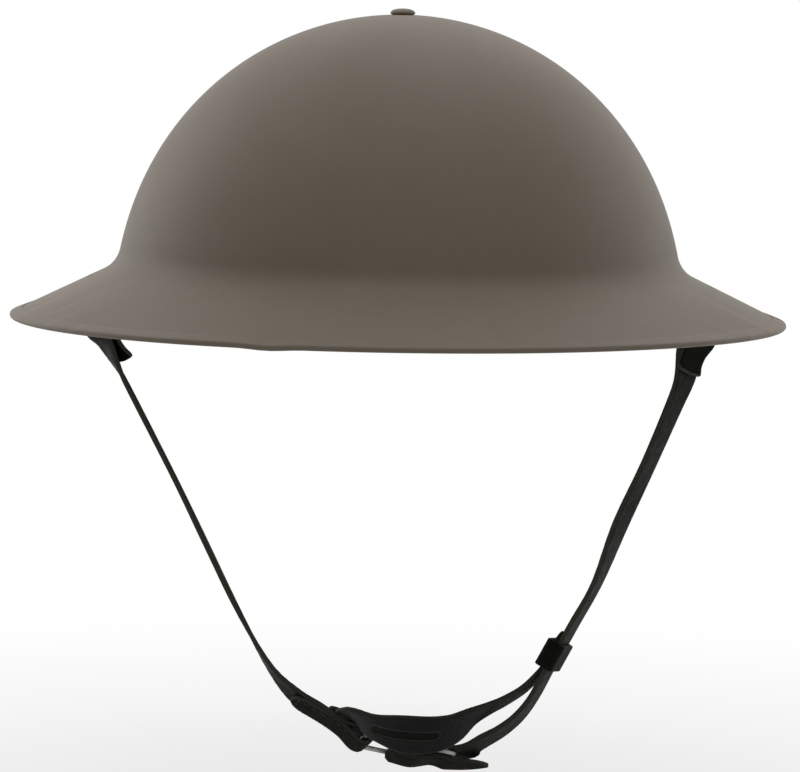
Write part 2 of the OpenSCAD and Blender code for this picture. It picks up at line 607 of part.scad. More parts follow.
// How the left strap bows on its way down: share of the way, bow outwards, turn of its width
left_arm_bows = [[0.12, 0, -10], [0.35, 0.4, -3], [0.55, -1.8, -2], [0.75, -3.2, -3], [0.92, -2.4, -8]];
function along_arm(b) = [each mix(left_arm_top, left_arm_end, b[0]) + [b[1], 0, 0], b[2]];
left_run = spline(concat([[each left_leave, left_turn]],
  [for (b = left_arm_bows) along_arm(b)],
  [[each chape_start, chape_turn], [each chape_start + chape_run * chape_flat, chape_turn]]), 4);
module left_strap() color("#45463f") seated() strap(concat(
  [[left_meet + left_down * lip_l + left_in * lip_rise, left_wide],
    [left_meet + left_down * lip_flat, left_wide], [left_meet, left_wide]],
  left_fold, turned(left_run),
  [[chape_start + chape_run * (chape_l - chape_flat), buckle_wide]],
  bend(left_bar, chape_in, chape_run, buckle_wide, loose_r, chape_wrap[0], chape_wrap[1], bend_steps),
  [for (d = [chape_flat, chape_l - round_l, chape_l - round_l / 2, chape_l - round_l / 6, chape_l])
    [left_bar - chape_in * layer / 2 - chape_run * d, buckle_wide, rounded_w(chape_l - d)]]));

// Straight stretch of the right strap on which the keeper slides
keep_low = [58.5, 0, -127];
keep_high = [76, 0, -94.6];
keep_run = unit(keep_high - keep_low);
keep_turn = -15;
keep_wide = strap_width(keep_run, keep_turn);
keep_in = cross(keep_run, keep_wide);

// Right strap: tip, under the right bar, round the sliding bar, over the right bar, up to the bail
// Its route in the buckle: places along the buckle and out of it, the tip first
lower_n = -slide_drop - wrap_r;
tip_run = [[50.4, 0.5], [44, -0.6], [38.5, -1.5], [buckle_l, -wrap_r - 2 * fit], [31.5, -1.6], [28.5, -1.7],
  [25, -3], [21, lower_n - 0.3], [slide_at + 1, lower_n]];
over_run = [[21, -0.1 * wrap_r + 0.5], [28, 1.6], [buckle_l, wrap_r + 5 * fit]];
right_fold = bend(right_low_bar, right_in, right_up, right_wide, hang_r, 180, 0, bend_steps);
right_leave = right_low_bar - right_in * layer / 2 - right_up * fold_run;
right_meet = right_leave + right_in * layer;
// Its route above the buckle, with the turn of its width
branch = [[28, 6.6, -160.4, -16], [34, 5.4, -156.8, -16], [40.5, 4, -152.4, -16], [46.3, 2.6, -147, -15],
  [51.5, 1.3, -139.6, -15]];
right_run = spline(concat(
  [for (p = over_run) [each in_buckle(p[0], p[1]), chape_turn]], branch,
  [[each keep_low - keep_run * 3.5, keep_turn], [each keep_low, keep_turn],
    [each mix(keep_low, keep_high, 0.5), keep_turn], [each keep_high, keep_turn]],
  [[84.8, 0, -73, -12], [93.9, 0, -51.4, -13], [102.4, -0.4, -31, -20],
    [each right_leave - right_up * hang_straight, -36], [each right_leave, right_turn]]), 3);
module right_strap() color("#45463f") seated() strap(concat(
  [for (p = spline(tip_run, 2)) [in_buckle(p[0], p[1]), buckle_wide, pointed_w(norm(p - tip_run[0]))]],
  bend(slide_bar, -buckle_in_dir, -buckle_run, buckle_wide, wrap_r, 22.5, 157.5, 6),
  [[in_buckle(slide_at, wrap_r - slide_drop), buckle_wide]],
  turned(right_run), right_fold,
  [[right_meet, right_wide], [right_meet - right_up * lip_flat, right_wide],
    [right_meet - right_up * lip_l + right_in * lip_rise, right_wide]]));

// Slotted chin piece, from the top of the left strap's fold, across the chin, up inside the keeper
chin_base = left_bar + chape_in * (1.5 * layer + 4 * fit);
chin_end_w = 10;
chin_mid_w = 16;
// Route points of the chin piece, with the turn and the width of the leather
tail_in = keep_in * (layer + 1.5 * fit);
chin_shift = buckle_wide * -3.4;
chin_route = concat(
  [for (d = [17, 11]) [each chin_base + chin_shift - chape_run * d, chape_turn, chin_end_w]],
  [[-14.6, -3.6, -148.1, -22, 10.4], [-7, -9.9, -151, -48, 12.4], [3, -13.4, -152.8, -60, chin_mid_w],
    [14, -13.8, -153, -60, chin_mid_w], [22, -12, -151, -52, 14], [29, -9, -146.4, -38, 11],
    [35, -6.8, -143.2, -28, chin_end_w], [41, -4.8, -140.4, -22, chin_end_w],
    [48, -2.3, -135.8, -18, chin_end_w]],
  [for (d = [-3.5, 2, 13]) [each keep_low + tail_in + keep_run * d, keep_turn, chin_end_w]]);
slot_mid = [3, -13.4, -152.8];
slot_run = unit([21, -3.9, -2]);
slot_wide = strap_width(slot_run, -60);
slot_in = cross(slot_run, slot_wide);
module slot_cutter() on_axes(slot_mid, slot_run, slot_wide, slot_in) {
  cube([slot_l - slot_w, slot_w, 4 * strap_t], center = true);
  for (s = [-1, 1]) translate([s * (slot_l - slot_w) / 2, 0, 0])
    cylinder(d = slot_w, h = 4 * strap_t, center = true, $fn = 32);
}
module chin_piece() color("#3f403a") seated() difference() {
  strap(turned(spline(chin_route, 3)));
  slot_cutter();
}

// Wire frame of the buckle
rail_half = buckle_in / 2 + wire_r;
module buckle_frame() color("#8b8a83") seated()
  on_axes(mix(left_bar, right_bar, 0.5), buckle_run, buckle_wide, cross(buckle_run, buckle_wide))
    wire_loop(buckle_l, 2 * rail_half, buckle_wire_d);

// Sliding bar with an eye at each end that runs on the frame's rails
eye_l = 3;
eye_wall = 0.9;
module at_eyes() for (s = [-1, 1]) on_axes(in_buckle(slide_at, 0) + s * buckle_wide * rail_half,
  buckle_wide, buckle_in_dir, buckle_run) children();
module buckle_slide_bar() color("#7d7b73") seated() difference() {
  union() {
    on_axes(slide_bar - buckle_wide * rail_half, buckle_in_dir, buckle_run, buckle_wide)
      cylinder(r = wire_r, h = 2 * rail_half, $fn = round_fn);
    at_eyes() cylinder(r = wire_r + fit + eye_wall, h = eye_l, center = true, $fn = round_fn);
  }
  at_eyes() cylinder(r = wire_r + fit, h = 2 * eye_l, center = true, $fn = round_fn);
}

// Leather keeper round the strap and the chin piece's tail
function round_box(w, h, r, n = 5) = [for (q = [0:3]) for (k = [0:n]) let (a = 90 * q + 90 * k / n)
  [(q == 0 || q == 3 ? 1 : -1) * (w / 2 - r), (q < 2 ? 1 : -1) * (h / 2 - r)] + r * [cos(a), sin(a)]];
module strap_keeper() {
  in_w = strap_w + 2 * slack;
  in_h = norm(tail_in) + strap_t + 2 * slack;
  color("#2f302c") seated() on_axes(keep_low + tail_in / 2 - keep_run * 2, keep_wide, keep_in, keep_run)
    linear_extrude(height = keeper_l) difference() {
      polygon(round_box(in_w + 2 * keeper_t, in_h + 2 * keeper_t, keeper_t));
      square([in_w, in_h], center = true);
    }
}

shell();
rim_strip();
crown_rivet();
crown_washer();
cradle_strip_sideways();
cradle_strip_lengthways();
outer_band();
cradle_rivets();
rubber_buffers();
buffer_rivets();
head_band();
head_band_rivets();
liner_tongues();
drawstring();
crown_pad();
left_lug();
right_lug();
lug_rivets();
left_bail();
right_bail();
left_strap();
right_strap();
chin_piece();
buckle_frame();
buckle_slide_bar();
strap_keeper();
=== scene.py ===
"""Dresses the wide-brimmed pressed steel helmet: painted shell, riveted liner and leather chin strap."""

import math

import bmesh
import bpy
import numpy as np
from bpy.props import FloatProperty, FloatVectorProperty, IntProperty, PointerProperty
from mathutils import Matrix, Vector
from mathutils.geometry import delaunay_2d_cdt


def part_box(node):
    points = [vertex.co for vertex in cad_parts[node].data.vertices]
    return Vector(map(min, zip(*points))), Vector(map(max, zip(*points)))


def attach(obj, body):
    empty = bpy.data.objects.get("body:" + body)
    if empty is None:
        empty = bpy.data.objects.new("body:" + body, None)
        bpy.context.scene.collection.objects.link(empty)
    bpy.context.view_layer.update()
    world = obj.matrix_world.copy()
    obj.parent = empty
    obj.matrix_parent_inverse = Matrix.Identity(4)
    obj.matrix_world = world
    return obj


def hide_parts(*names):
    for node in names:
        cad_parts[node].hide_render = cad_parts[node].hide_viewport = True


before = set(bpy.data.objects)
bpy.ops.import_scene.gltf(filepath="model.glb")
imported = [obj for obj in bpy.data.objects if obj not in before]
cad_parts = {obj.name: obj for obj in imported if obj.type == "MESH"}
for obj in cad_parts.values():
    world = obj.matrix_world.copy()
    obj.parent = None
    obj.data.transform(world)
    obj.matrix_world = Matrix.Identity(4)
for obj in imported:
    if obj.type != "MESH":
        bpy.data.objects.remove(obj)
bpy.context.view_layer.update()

bl_info = {
    "name": "Wide-Brimmed Steel Helmet",
    "version": (1, 0, 0),
    "blender": (4, 5, 0),
    "location": "3D View > Sidebar > Helmet",
    "description": "Builds the shell, liner and chin strap of a pressed steel helmet on its fixed frame",
    "category": "Object",
}

MM = 0.001
# The origin is the head's seat, this far above the lowest line of the brim
SEAT_HEIGHT = 86 * MM
PICTURE_WIDTH = 800


def size_of(node, axis):
    """The length of a frame node's box along an axis, in metres."""
    low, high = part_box(node)
    return high[axis] - low[axis]


def number(name, about, default, **kind):
    """A property for one number; a whole default makes it a count."""
    make = IntProperty if isinstance(default, int) else FloatProperty
    return make(name=name, description=about, default=default, **kind)


def length(name, about, default):
    return number(name, about, default, unit="LENGTH", precision=4)


def angle(name, about, degrees):
    return number(name, about, math.radians(degrees), subtype="ANGLE")


def power(name, about, default):
    return number(name, about, default, unit="POWER")


def colour(name, about, default):
    return FloatVectorProperty(
        name=name, description=about, default=default, size=3, subtype="COLOR", min=0.0, max=1.0
    )


class ShellSettings(bpy.types.PropertyGroup):
    """Sizes and paint of the pressed shell and its rim strip."""

    brim_width: length("Brim Width", "Width of the brim, side to side", size_of("rim_strip", 0))
    brim_length: length("Brim Length", "Length of the brim, front to back", size_of("rim_strip", 1))
    bowl_width: length("Bowl Width", "Width of the bowl where its curve stands upright", 0.2152)
    bowl_length: length("Bowl Length", "Length of the bowl at the same place", 0.236)
    crown_height: length("Crown Height", "Height of the crown above the brim's lowest line", 0.1152)
    bowl_depth: length("Bowl Depth", "Depth of the full bowl curve", 0.1182)
    fullness: number("Fullness", "Bowl curve, where 2 is an ellipse", 2.15)
    brim_slope: angle("Brim Slope", "Slope of the brim", 25.8)
    blend_height: length("Blend Height", "Height of the blend from bowl to brim", 0.007)
    steel: length("Steel", "Thickness of the steel", 0.001)
    strip_steel: length("Strip Steel", "Thickness of the folded strip", 0.0005)
    strip_play: length("Strip Play", "Play between the strip and the steel", 0.0001)
    strip_depth: length("Strip Depth", "How far the strip reaches in from the edge", 0.0045)
    strip_split: length("Strip Split", "Gap where the strip's ends meet", 0.0012)
    slices: number("Slices", "Facets round the shell", 224, min=24)
    kink_depth: length("Kink Depth", "Depth of the small kink in the front edge", 0.0006)
    paint: colour("Paint", "Colour of the matt paint", (0.180, 0.145, 0.108))
    paint_pale: colour("Pale Paint", "Colour of the paint where it is rubbed", (0.235, 0.200, 0.158))
    bare_steel: colour("Bare Steel", "Colour of the steel where paint has gone", (0.045, 0.042, 0.038))


class LinerSettings(bpy.types.PropertyGroup):
    """Sizes and finishes of the liner."""

    band_play: length("Band Space", "Space between bowl and outer band", 0.0038)
    band_height: length("Band Height", "Height of the outer band", 0.022)
    band_rise: length("Band Rise", "Height of the band above the brim's lowest line", 0.016)
    band_thick: length("Band Thickness", "Thickness of the outer band", 0.0012)
    buffer_width: length("Buffer Width", "Outside diameter of a rubber buffer", 0.011)
    buffer_bore: length("Buffer Bore", "Bore of a rubber buffer", 0.006)
    buffer_height: length("Buffer Height", "Height of a rubber buffer", 0.020)
    buffers: number("Buffers", "Number of rubber buffers", 12)
    head_band_thick: length("Head Band Thickness", "Thickness of the leather head band", 0.002)
    head_band_height: length("Head Band Height", "Height of the leather head band", 0.032)
    tongue_thick: length("Tongue Thickness", "Thickness of a leather tongue", 0.0014)
    tongue_end: length("Tongue End", "Width of a tongue at its round end", 0.016)
    tongues: number("Tongues", "Number of leather tongues", 8)
    tongue_flat: number("Tongue Flat", "Share of a tongue's turn after which it lies flat", 0.87)
    string_radius: length("Drawstring Ring", "Radius of the drawstring's ring", 0.029)
    string_thick: length("Drawstring", "Diameter of the drawstring", 0.002)
    cradle_width: length("Cradle Width", "Width of a cradle strip", 0.020)
    cradle_thick: length("Cradle Thickness", "Thickness of a cradle strip", 0.0012)
    pad_width: length("Pad Width", "Diameter of the felt pad", 0.084)
    pad_thick: length("Pad Thickness", "Thickness of the felt pad", 0.007)
    band_leather: colour("Band Leather", "Colour of the outer band", (0.090, 0.062, 0.040))
    liner_leather: colour("Liner Leather", "Colour of the head band and tongues", (0.150, 0.082, 0.043))
    webbing: colour("Webbing", "Colour of the cradle strips", (0.105, 0.086, 0.058))
    rubber: colour("Rubber", "Colour of the rubber buffers", (0.030, 0.027, 0.024))
    felt: colour("Felt", "Colour of the felt pad", (0.260, 0.225, 0.175))
    cotton: colour("Cotton", "Colour of the drawstring", (0.460, 0.400, 0.290))
    brass: colour("Brass", "Colour of the small rivets", (0.480, 0.360, 0.170))


class StrapSettings(bpy.types.PropertyGroup):
    """Sizes and finishes of the chin strap and its metal."""

    width: length("Width", "Width of the strap", 0.0155)
    tilt: angle("Tilt", "How far the buckle tips its lower edge back", 24)
    lug_shift: length("Lug Shift", "How far both lugs sit towards the right", 0.0008)
    lug_out: length("Lug Distance", "Distance of a lug's middle outside the bowl", 0.009)
    chape: length("Chape", "Length that is turned back round the buckle's bar", 0.031)
    thickness: length("Thickness", "Thickness of the strap", 0.0017)
    stitch_length: length("Stitch Length", "Length of one stitch", 0.0023)
    stitch_pitch: length("Stitch Pitch", "Distance from stitch to stitch", 0.0032)
    strap_leather: colour("Strap Leather", "Colour of the straps", (0.0065, 0.007, 0.005))
    chin_leather: colour("Chin Leather", "Colour of the chin piece", (0.0085, 0.0080, 0.0078))
    keeper_leather: colour("Keeper Leather", "Colour of the keeper", (0.0035, 0.0036, 0.0032))
    raw_edge: colour("Raw Edge", "Colour of the straps' cut edges", (0.085, 0.092, 0.070))
    thread: colour("Thread", "Colour of the stitches", (0.085, 0.085, 0.068))
    dark_steel: colour("Dark Steel", "Colour of lugs and bails", (0.016, 0.014, 0.012))
    buckle_steel: colour("Buckle Steel", "Colour of the buckle", (0.36, 0.37, 0.35))


class StageSettings(bpy.types.PropertyGroup):
    """Camera, floor and light."""

    eye_distance: length("Eye Distance", "Distance of the eye in front of the helmet", 1.9)
    eye_height: length("Eye Height", "Height of the eye above the brim's lowest line", 0.1389)
    view_width: length("View Width", "Width that the picture shows at the helmet", 0.3021)
    floor: colour("Floor", "Colour of the floor", (0.86, 0.86, 0.85))
    top_light: power("Top Light", "Power of the lamp above", 6.6)
    back_light: power("Back Light", "Power of the lamp behind", 3.4)
    left_light: power("Left Light", "Power of the left lamp", 6.5)
    right_light: power("Right Light", "Power of the right lamp", 3.8)
    ambient: number("Ambient", "Strength of the light from all around", 0.26)


TAU = 2 * math.pi
UP = np.array([0.0, 0.0, 1.0])


def settings(part):
    """The scene's settings of one part: shell, liner, strap or stage."""
    return getattr(bpy.context.scene, "helmet_" + part)


def unit(v):
    return np.asarray(v, float) / np.linalg.norm(v)


def mix(a, b, t):
    return a + (b - a) * t


def seated(points):
    """Points with heights from the brim's lowest line, let down into the frame."""
    return np.asarray(points, float) - [0, 0, SEAT_HEIGHT]


def new_object(name, data):
    obj = bpy.data.objects.new(name, data)
    bpy.context.collection.objects.link(obj)
    return obj


def mesh_object(name, points, faces, finish=None):
    """A smooth object from points and faces, with its place in its mesh."""
    mesh = bpy.data.meshes.new(name)
    mesh.from_pydata([tuple(p) for p in points], [], [tuple(int(i) for i in f) for f in faces])
    mesh.validate()
    mesh.polygons.foreach_set("use_smooth", [True] * len(mesh.polygons))
    if finish:
        mesh.materials.append(finish)
    return new_object(name, mesh)


def marked(mesh, **attributes):
    """Gives a mesh's points float or vector attributes."""
    for label, values in attributes.items():
        values = np.asarray(values, np.float32)
        kind, field = ("FLOAT", "value") if values.ndim == 1 else ("FLOAT_VECTOR", "vector")
        mesh.attributes.new(label, kind, "POINT").data.foreach_set(field, values.ravel())
    return mesh


def line_mesh(name, points, closed=False, **attributes):
    """A chain of edges that carries attributes on its points."""
    last = len(points) - 1
    mesh = bpy.data.meshes.new(name)
    edges = [(i, i + 1) for i in range(last)] + ([(last, 0)] if closed else [])
    mesh.from_pydata([tuple(p) for p in points], edges, [])
    return marked(mesh, **attributes)


def reworked(obj, change):
    """Runs a bmesh operation on an object's mesh."""
    bm = bmesh.new()
    bm.from_mesh(obj.data)
    change(bm)
    bm.to_mesh(obj.data)
    bm.free()
    return obj


def outward(obj):
    """Turns an object's faces outwards."""
    return reworked(obj, lambda bm: bmesh.ops.recalc_face_normals(bm, faces=bm.faces[:]))


def evaluated_mesh(obj):
    """The mesh that an object's modifiers make."""
    bpy.context.view_layer.update()
    return bpy.data.meshes.new_from_object(obj.evaluated_get(bpy.context.evaluated_depsgraph_get()))


def joined(name, objects):
    """Several plain objects as one, in the first one's place."""
    first = objects[0]
    with bpy.context.temp_override(
        active_object=first, object=first, selected_editable_objects=objects, selected_objects=objects
    ):
        bpy.ops.object.join()
    first.name = first.data.name = name
    return first


def finished(obj, body, slot, *nodes):
    """Gives a piece to its body, its material slot and the frame nodes that it stands for."""
    if not obj.data.polygons:
        raise RuntimeError(f"{obj.name} came out empty")
    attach(obj, body)
    if nodes:
        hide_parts(*nodes)
    return obj


# Node trees


def once(maker):
    """Keeps the tree or material that a maker builds, so that it is built a single time."""
    kept = {}

    def get(*args):
        if args not in kept:
            kept[args] = maker(*args)
        return kept[args]

    return get


# Types of sockets
F, V, G, M, I, C, O = (
    "NodeSocket" + kind for kind in ("Float", "Vector", "Geometry", "Material", "Int", "Color", "Object")
)


class Tree:
    """A node tree being built, with short ways to add nodes and join them."""

    def __init__(self, tree):
        self.tree = tree

    @classmethod
    def group(cls, name, kind, outputs, **inputs):
        """A new node group. An input is a default number or a socket type."""
        made = cls(bpy.data.node_groups.new(name, kind + "NodeTree"))
        new_socket = made.tree.interface.new_socket
        for key, value in inputs.items():
            bare = isinstance(value, str)
            socket_type = value if bare else I if isinstance(value, int) else F
            socket = new_socket(name=key.replace("_", " "), in_out="INPUT", socket_type=socket_type)
            if not bare:
                socket.default_value = value
        for key, value in outputs.items():
            new_socket(name=key, in_out="OUTPUT", socket_type=value)
        made.ins = made.tree.nodes.new("NodeGroupInput").outputs
        made.outs = made.tree.nodes.new("NodeGroupOutput").inputs
        return made

    def __getitem__(self, name):
        """One of the group's own inputs."""
        return self.ins[name]

    def put(self, socket, value):
        """Joins or sets one input."""
        if isinstance(value, bpy.types.NodeSocket):
            self.tree.links.new(value, socket)
        elif socket.type == "RGBA" and len(value) == 3:
            socket.default_value = (*value, 1.0)
        else:
            socket.default_value = value

    def node(self, kind, *values, **named):
        """A new node. Values fill its inputs in order, capitalised names are inputs, others settings."""
        made = self.tree.nodes.new(kind)
        inputs = {key.replace("_", " "): value for key, value in named.items() if key[0].isupper()}
        for key in named:
            if key[0].islower():
                setattr(made, key, named[key])
        for socket, value in zip(made.inputs, values):
            self.put(socket, value)
        for key, value in inputs.items():
            self.put(made.inputs[key], value)
        return made

    def sh(self, kind, *values, **named):
        """First output of a new shader node."""
        return self.node("ShaderNode" + kind, *values, **named).outputs[0]

    def geo(self, kind, **named):
        """First output of a new geometry node."""
        return self.node("GeometryNode" + kind, **named).outputs[0]

    def use(self, group, **inputs):
        """Outputs of a node that places a group."""
        return self.node(self.tree.bl_idname.replace("Tree", "Group"), node_tree=group, **inputs).outputs

    def math(self, operation, *values):
        return self.sh("Math", *values, operation=operation)

    def times(self, a, b):
        return self.math("MULTIPLY", a, b)

    def plus(self, a, b):
        return self.math("ADD", a, b)

    def minus(self, a, b):
        return self.math("SUBTRACT", a, b)

    def vector(self, operation, *values):
        node = self.node("ShaderNodeVectorMath", *values, operation=operation)
        return node.outputs["Value" if operation in ("DISTANCE", "LENGTH") else "Vector"]

    def ramp(self, value, low, high, to_low=0.0, to_high=1.0, kind="LINEAR"):
        """A value carried from one range to another, kept inside it."""
        return self.sh("MapRange", value, low, high, to_low, to_high, interpolation_type=kind)

    def noise(self, vector, scale, detail=2.0, distortion=0.0):
        """Noise between nought and one."""
        return self.sh("TexNoise", Vector=vector, Scale=scale, Detail=detail, Distortion=distortion)

    def blend(self, factor, a, b, how="MIX"):
        """Two colours mixed."""
        node = self.node("ShaderNodeMix", data_type="RGBA", blend_type=how)
        for index, value in ((0, factor), (6, a), (7, b)):
            self.put(node.inputs[index], value)
        return node.outputs[2]

    def give(self, **outputs):
        """Ends a group by joining its outputs."""
        for key, value in outputs.items():
            self.put(self.outs[key], value)
        return self.tree

    def dress(self, geometry):
        """Ends a geometry group with smooth real geometry in the group's material."""
        real = self.geo("RealizeInstances", Geometry=self.geo("SetShadeSmooth", Geometry=geometry))
        return self.give(Geometry=self.geo("SetMaterial", Geometry=real, Material=self["Material"]))


def grown(name, mesh, tree, **inputs):
    """The plain object that a geometry tree makes from a mesh. Inputs have underscores for spaces."""
    obj = new_object(name, mesh)
    modifier = obj.modifiers.new(tree.name, "NODES")
    modifier.node_group = tree
    sockets = {s.name: s.identifier for s in tree.interface.items_tree if s.in_out == "INPUT"}
    for key, value in inputs.items():
        modifier[sockets[key.replace("_", " ")]] = value
    plain = evaluated_mesh(obj)
    obj.modifiers.clear()
    obj.data = plain
    plain.name = name
    if not plain.polygons:
        raise RuntimeError(f"the tree {tree.name} made nothing for {name}")
    return obj


@once
def knocks_tree():
    """Geometry group: how far the steel stands off its drawn form after years of handling."""
    t = Tree.group(
        "Handling Knocks", "Geometry", {"Offset": V},
        Position=V, Waviness=0.00025, Kink_Place=V, Kink_Reach=0.01, Kink_Depth=0.0,
    )
    wave = t.times(t.minus(t.noise(t["Position"], 14.0, 1.0), 0.5), t["Waviness"])
    away = t.vector("DISTANCE", t["Position"], t["Kink Place"])
    kink = t.times(t.ramp(away, 0.0, t["Kink Reach"], 1.0, 0.0, "SMOOTHSTEP"), t["Kink Depth"])
    return t.give(Offset=t.sh("CombineXYZ", Z=t.minus(wave, kink)))


@once
def sweep_tree():
    """Geometry group: turns a section round the upright axis on an oval plan."""
    t = Tree.group(
        "Oval Sweep", "Geometry", {"Geometry": G},
        Section=G, Slices=96, Start_Angle=0.0, End_Angle=TAU,
        Inner_Radius=0.1, Outer_Radius=0.2, Inner_Ratio=1.0, Outer_Ratio=1.0,
        Waviness=0.0, Kink_Place=V, Kink_Reach=0.01, Kink_Depth=0.0, Material=M,
    )
    count = t.node("GeometryNodeAttributeDomainSize", Geometry=t["Section"]).outputs["Point Count"]
    columns = t.plus(t["Slices"], 1.0)
    grid = t.geo("MeshGrid", Vertices_X=count, Vertices_Y=columns)
    index = t.geo("InputIndex")
    row = t.math("FLOOR", t.math("DIVIDE", t.plus(index, 0.5), columns))
    column = t.minus(index, t.times(row, columns))

    def taken(kind, value):
        """A value of the section's point in this row."""
        inputs = dict(Geometry=t["Section"], Value=value, Index=row)
        return t.geo("SampleIndex", data_type=kind, domain="POINT", **inputs)

    position = taken("FLOAT_VECTOR", t.geo("InputPosition"))
    radius, _, height = t.node("ShaderNodeSeparateXYZ", position).outputs
    angle = t.ramp(column, 0.0, t["Slices"], t["Start Angle"], t["End Angle"])
    ratio = t.ramp(radius, t["Inner Radius"], t["Outer Radius"], t["Inner Ratio"], t["Outer Ratio"])
    deep = t.times(t.times(radius, ratio), t.math("SINE", angle))
    place = t.sh("CombineXYZ", t.times(radius, t.math("COSINE", angle)), deep, height)
    kept = dict(Name="edge", data_type="FLOAT")
    edge = taken("FLOAT", t.geo("InputNamedAttribute", **kept))
    stored = t.geo("StoreNamedAttribute", domain="POINT", Geometry=grid, Value=edge, **kept)
    placed = t.geo("SetPosition", Geometry=stored, Position=place)
    merged = t.geo("MergeByDistance", Geometry=placed, Distance=2e-6)
    passed = {name: t[name] for name in ("Waviness", "Kink Place", "Kink Reach", "Kink Depth")}
    offset = t.use(knocks_tree(), Position=t.geo("InputPosition"), **passed)["Offset"]
    return t.dress(t.geo("SetPosition", Geometry=merged, Offset=offset))


@once
def setting_tree():
    """Geometry group: sets a small piece on each point, its Z along facing and its X along run."""
    t = Tree.group(
        "Set In Place", "Geometry", {"Geometry": G},
        Points=G, Piece=O, Size_Spread=0.0, Turn_Spread=0.0, Seed=0, Material=M,
    )

    def drawn(seed, low, high):
        """A random number for each point."""
        node = t.node("FunctionNodeRandomValue", data_type="FLOAT", Seed=seed)
        t.put(node.inputs[2], low)
        t.put(node.inputs[3], high)
        return node.outputs[1]

    facing, run = (
        t.geo("InputNamedAttribute", data_type="FLOAT_VECTOR", Name=name) for name in ("facing", "run")
    )
    align = "FunctionNodeAlignRotationToVector"
    upright = t.node(align, Vector=facing, axis="Z").outputs[0]
    turned = t.node(align, Rotation=upright, Vector=run, axis="X", pivot_axis="Z").outputs[0]
    skew = t.sh("CombineXYZ", Z=drawn(t["Seed"], t.times(t["Turn Spread"], -1.0), t["Turn Spread"]))
    skewed = t.node("FunctionNodeRotateRotation", rotation_space="LOCAL", Rotation=turned, Rotate_By=skew)
    size = drawn(t.plus(t["Seed"], 1.0), t.minus(1.0, t["Size Spread"]), 1.0)
    piece = t.node("GeometryNodeObjectInfo", Object=t["Piece"]).outputs["Geometry"]
    cloud = t.geo("MeshToPoints", Mesh=t["Points"])
    return t.dress(
        t.geo("InstanceOnPoints", Points=cloud, Instance=piece, Rotation=skewed.outputs[0], Scale=size)
    )


@once
def wire_tree():
    """Geometry group: bends a round wire along a chain of edges, with rounded corners."""
    t = Tree.group(
        "Bent Wire", "Geometry", {"Geometry": G},
        Line=G, Wire_Radius=0.001, Corner_Radius=0.0014, Sides=20, Material=M,
    )
    curve = t.geo("MeshToCurve", Mesh=t["Line"])
    corner = dict(Radius=t["Corner Radius"], Limit_Radius=True, Count=10)
    bent = t.geo("FilletCurve", mode="POLY", Curve=curve, **corner)
    ring = t.geo("CurvePrimitiveCircle", Resolution=t["Sides"], Radius=t["Wire Radius"])
    return t.dress(t.geo("CurveToMesh", Curve=bent, Profile_Curve=ring, Fill_Caps=True))


@once
def cord_tree():
    """Geometry group: lays a three-stranded cord along a chain of edges."""
    t = Tree.group(
        "Laid Cord", "Geometry", {"Geometry": G}, Line=G, Strands=O, Step=0.0004, Lay=0.006, Material=M
    )
    curve = t.geo("MeshToCurve", Mesh=t["Line"])
    fine = t.geo("ResampleCurve", mode="LENGTH", Curve=curve, Length=t["Step"])
    along = t.node("GeometryNodeSplineParameter").outputs["Length"]
    laid = t.geo("SetCurveTilt", Curve=fine, Tilt=t.times(t.math("DIVIDE", along, t["Lay"]), TAU))
    strands = t.node("GeometryNodeObjectInfo", Object=t["Strands"]).outputs["Geometry"]
    ring = t.geo("MeshToCurve", Mesh=strands)
    return t.dress(t.geo("CurveToMesh", Curve=laid, Profile_Curve=ring, Fill_Caps=True))


# Shader groups


@once
def drift_group():
    """Shader group: slow drift of one colour into another, with a finer mottle on top."""
    t = Tree.group(
        "Colour Drift", "Shader", {"Colour": C, "Mask": F},
        Vector=V, Scale=30.0, Colour=C, Drifted_Colour=C, Amount=0.5, Mottle=0.3,
    )
    fine = t.noise(t["Vector"], t.times(t["Scale"], 14.0), 4.0)
    speck = t.times(t.minus(fine, 0.5), t["Mottle"])
    slow = t.noise(t["Vector"], t["Scale"], 3.0)
    mask = t.times(t.ramp(t.plus(slow, speck), 0.3, 0.7), t["Amount"])
    return t.give(Colour=t.blend(mask, t["Colour"], t["Drifted Colour"]), Mask=mask)


@once
def grain_group():
    """Shader group: height of a pebbled or sanded surface from cells and noise."""
    t = Tree.group(
        "Surface Grain", "Shader", {"Height": F},
        Vector=V, Cells=900.0, Cell_Depth=0.5, Sand=2600.0, Sand_Depth=0.5,
    )
    warp = t.node("ShaderNodeTexNoise", Vector=t["Vector"], Scale=t.times(t["Cells"], 0.4)).outputs["Color"]
    bent = t.vector("ADD", t["Vector"], t.vector("MULTIPLY", warp, (0.0012, 0.0012, 0.0012)))
    cells = t.sh("TexVoronoi", Vector=bent, Scale=t["Cells"], Smoothness=0.6, feature="SMOOTH_F1")
    sand = t.noise(t["Vector"], t["Sand"])
    return t.give(Height=t.plus(t.times(cells, t["Cell Depth"]), t.times(sand, t["Sand Depth"])))


@once
def wear_group():
    """Shader group: broken mask along the edges that a piece's edge attribute marks."""
    t = Tree.group(
        "Edge Wear", "Shader", {"Mask": F}, Vector=V, Edge=0.0, Scale=300.0, Amount=0.5, Scatter=0.3
    )
    broken = t.times(t.minus(t.noise(t["Vector"], t["Scale"], 5.0), 0.5), t["Scatter"])
    reach = t.plus(t["Edge"], t.times(broken, 4.0))
    return t.give(Mask=t.times(t.ramp(reach, 0.45, 0.75), t["Amount"]))


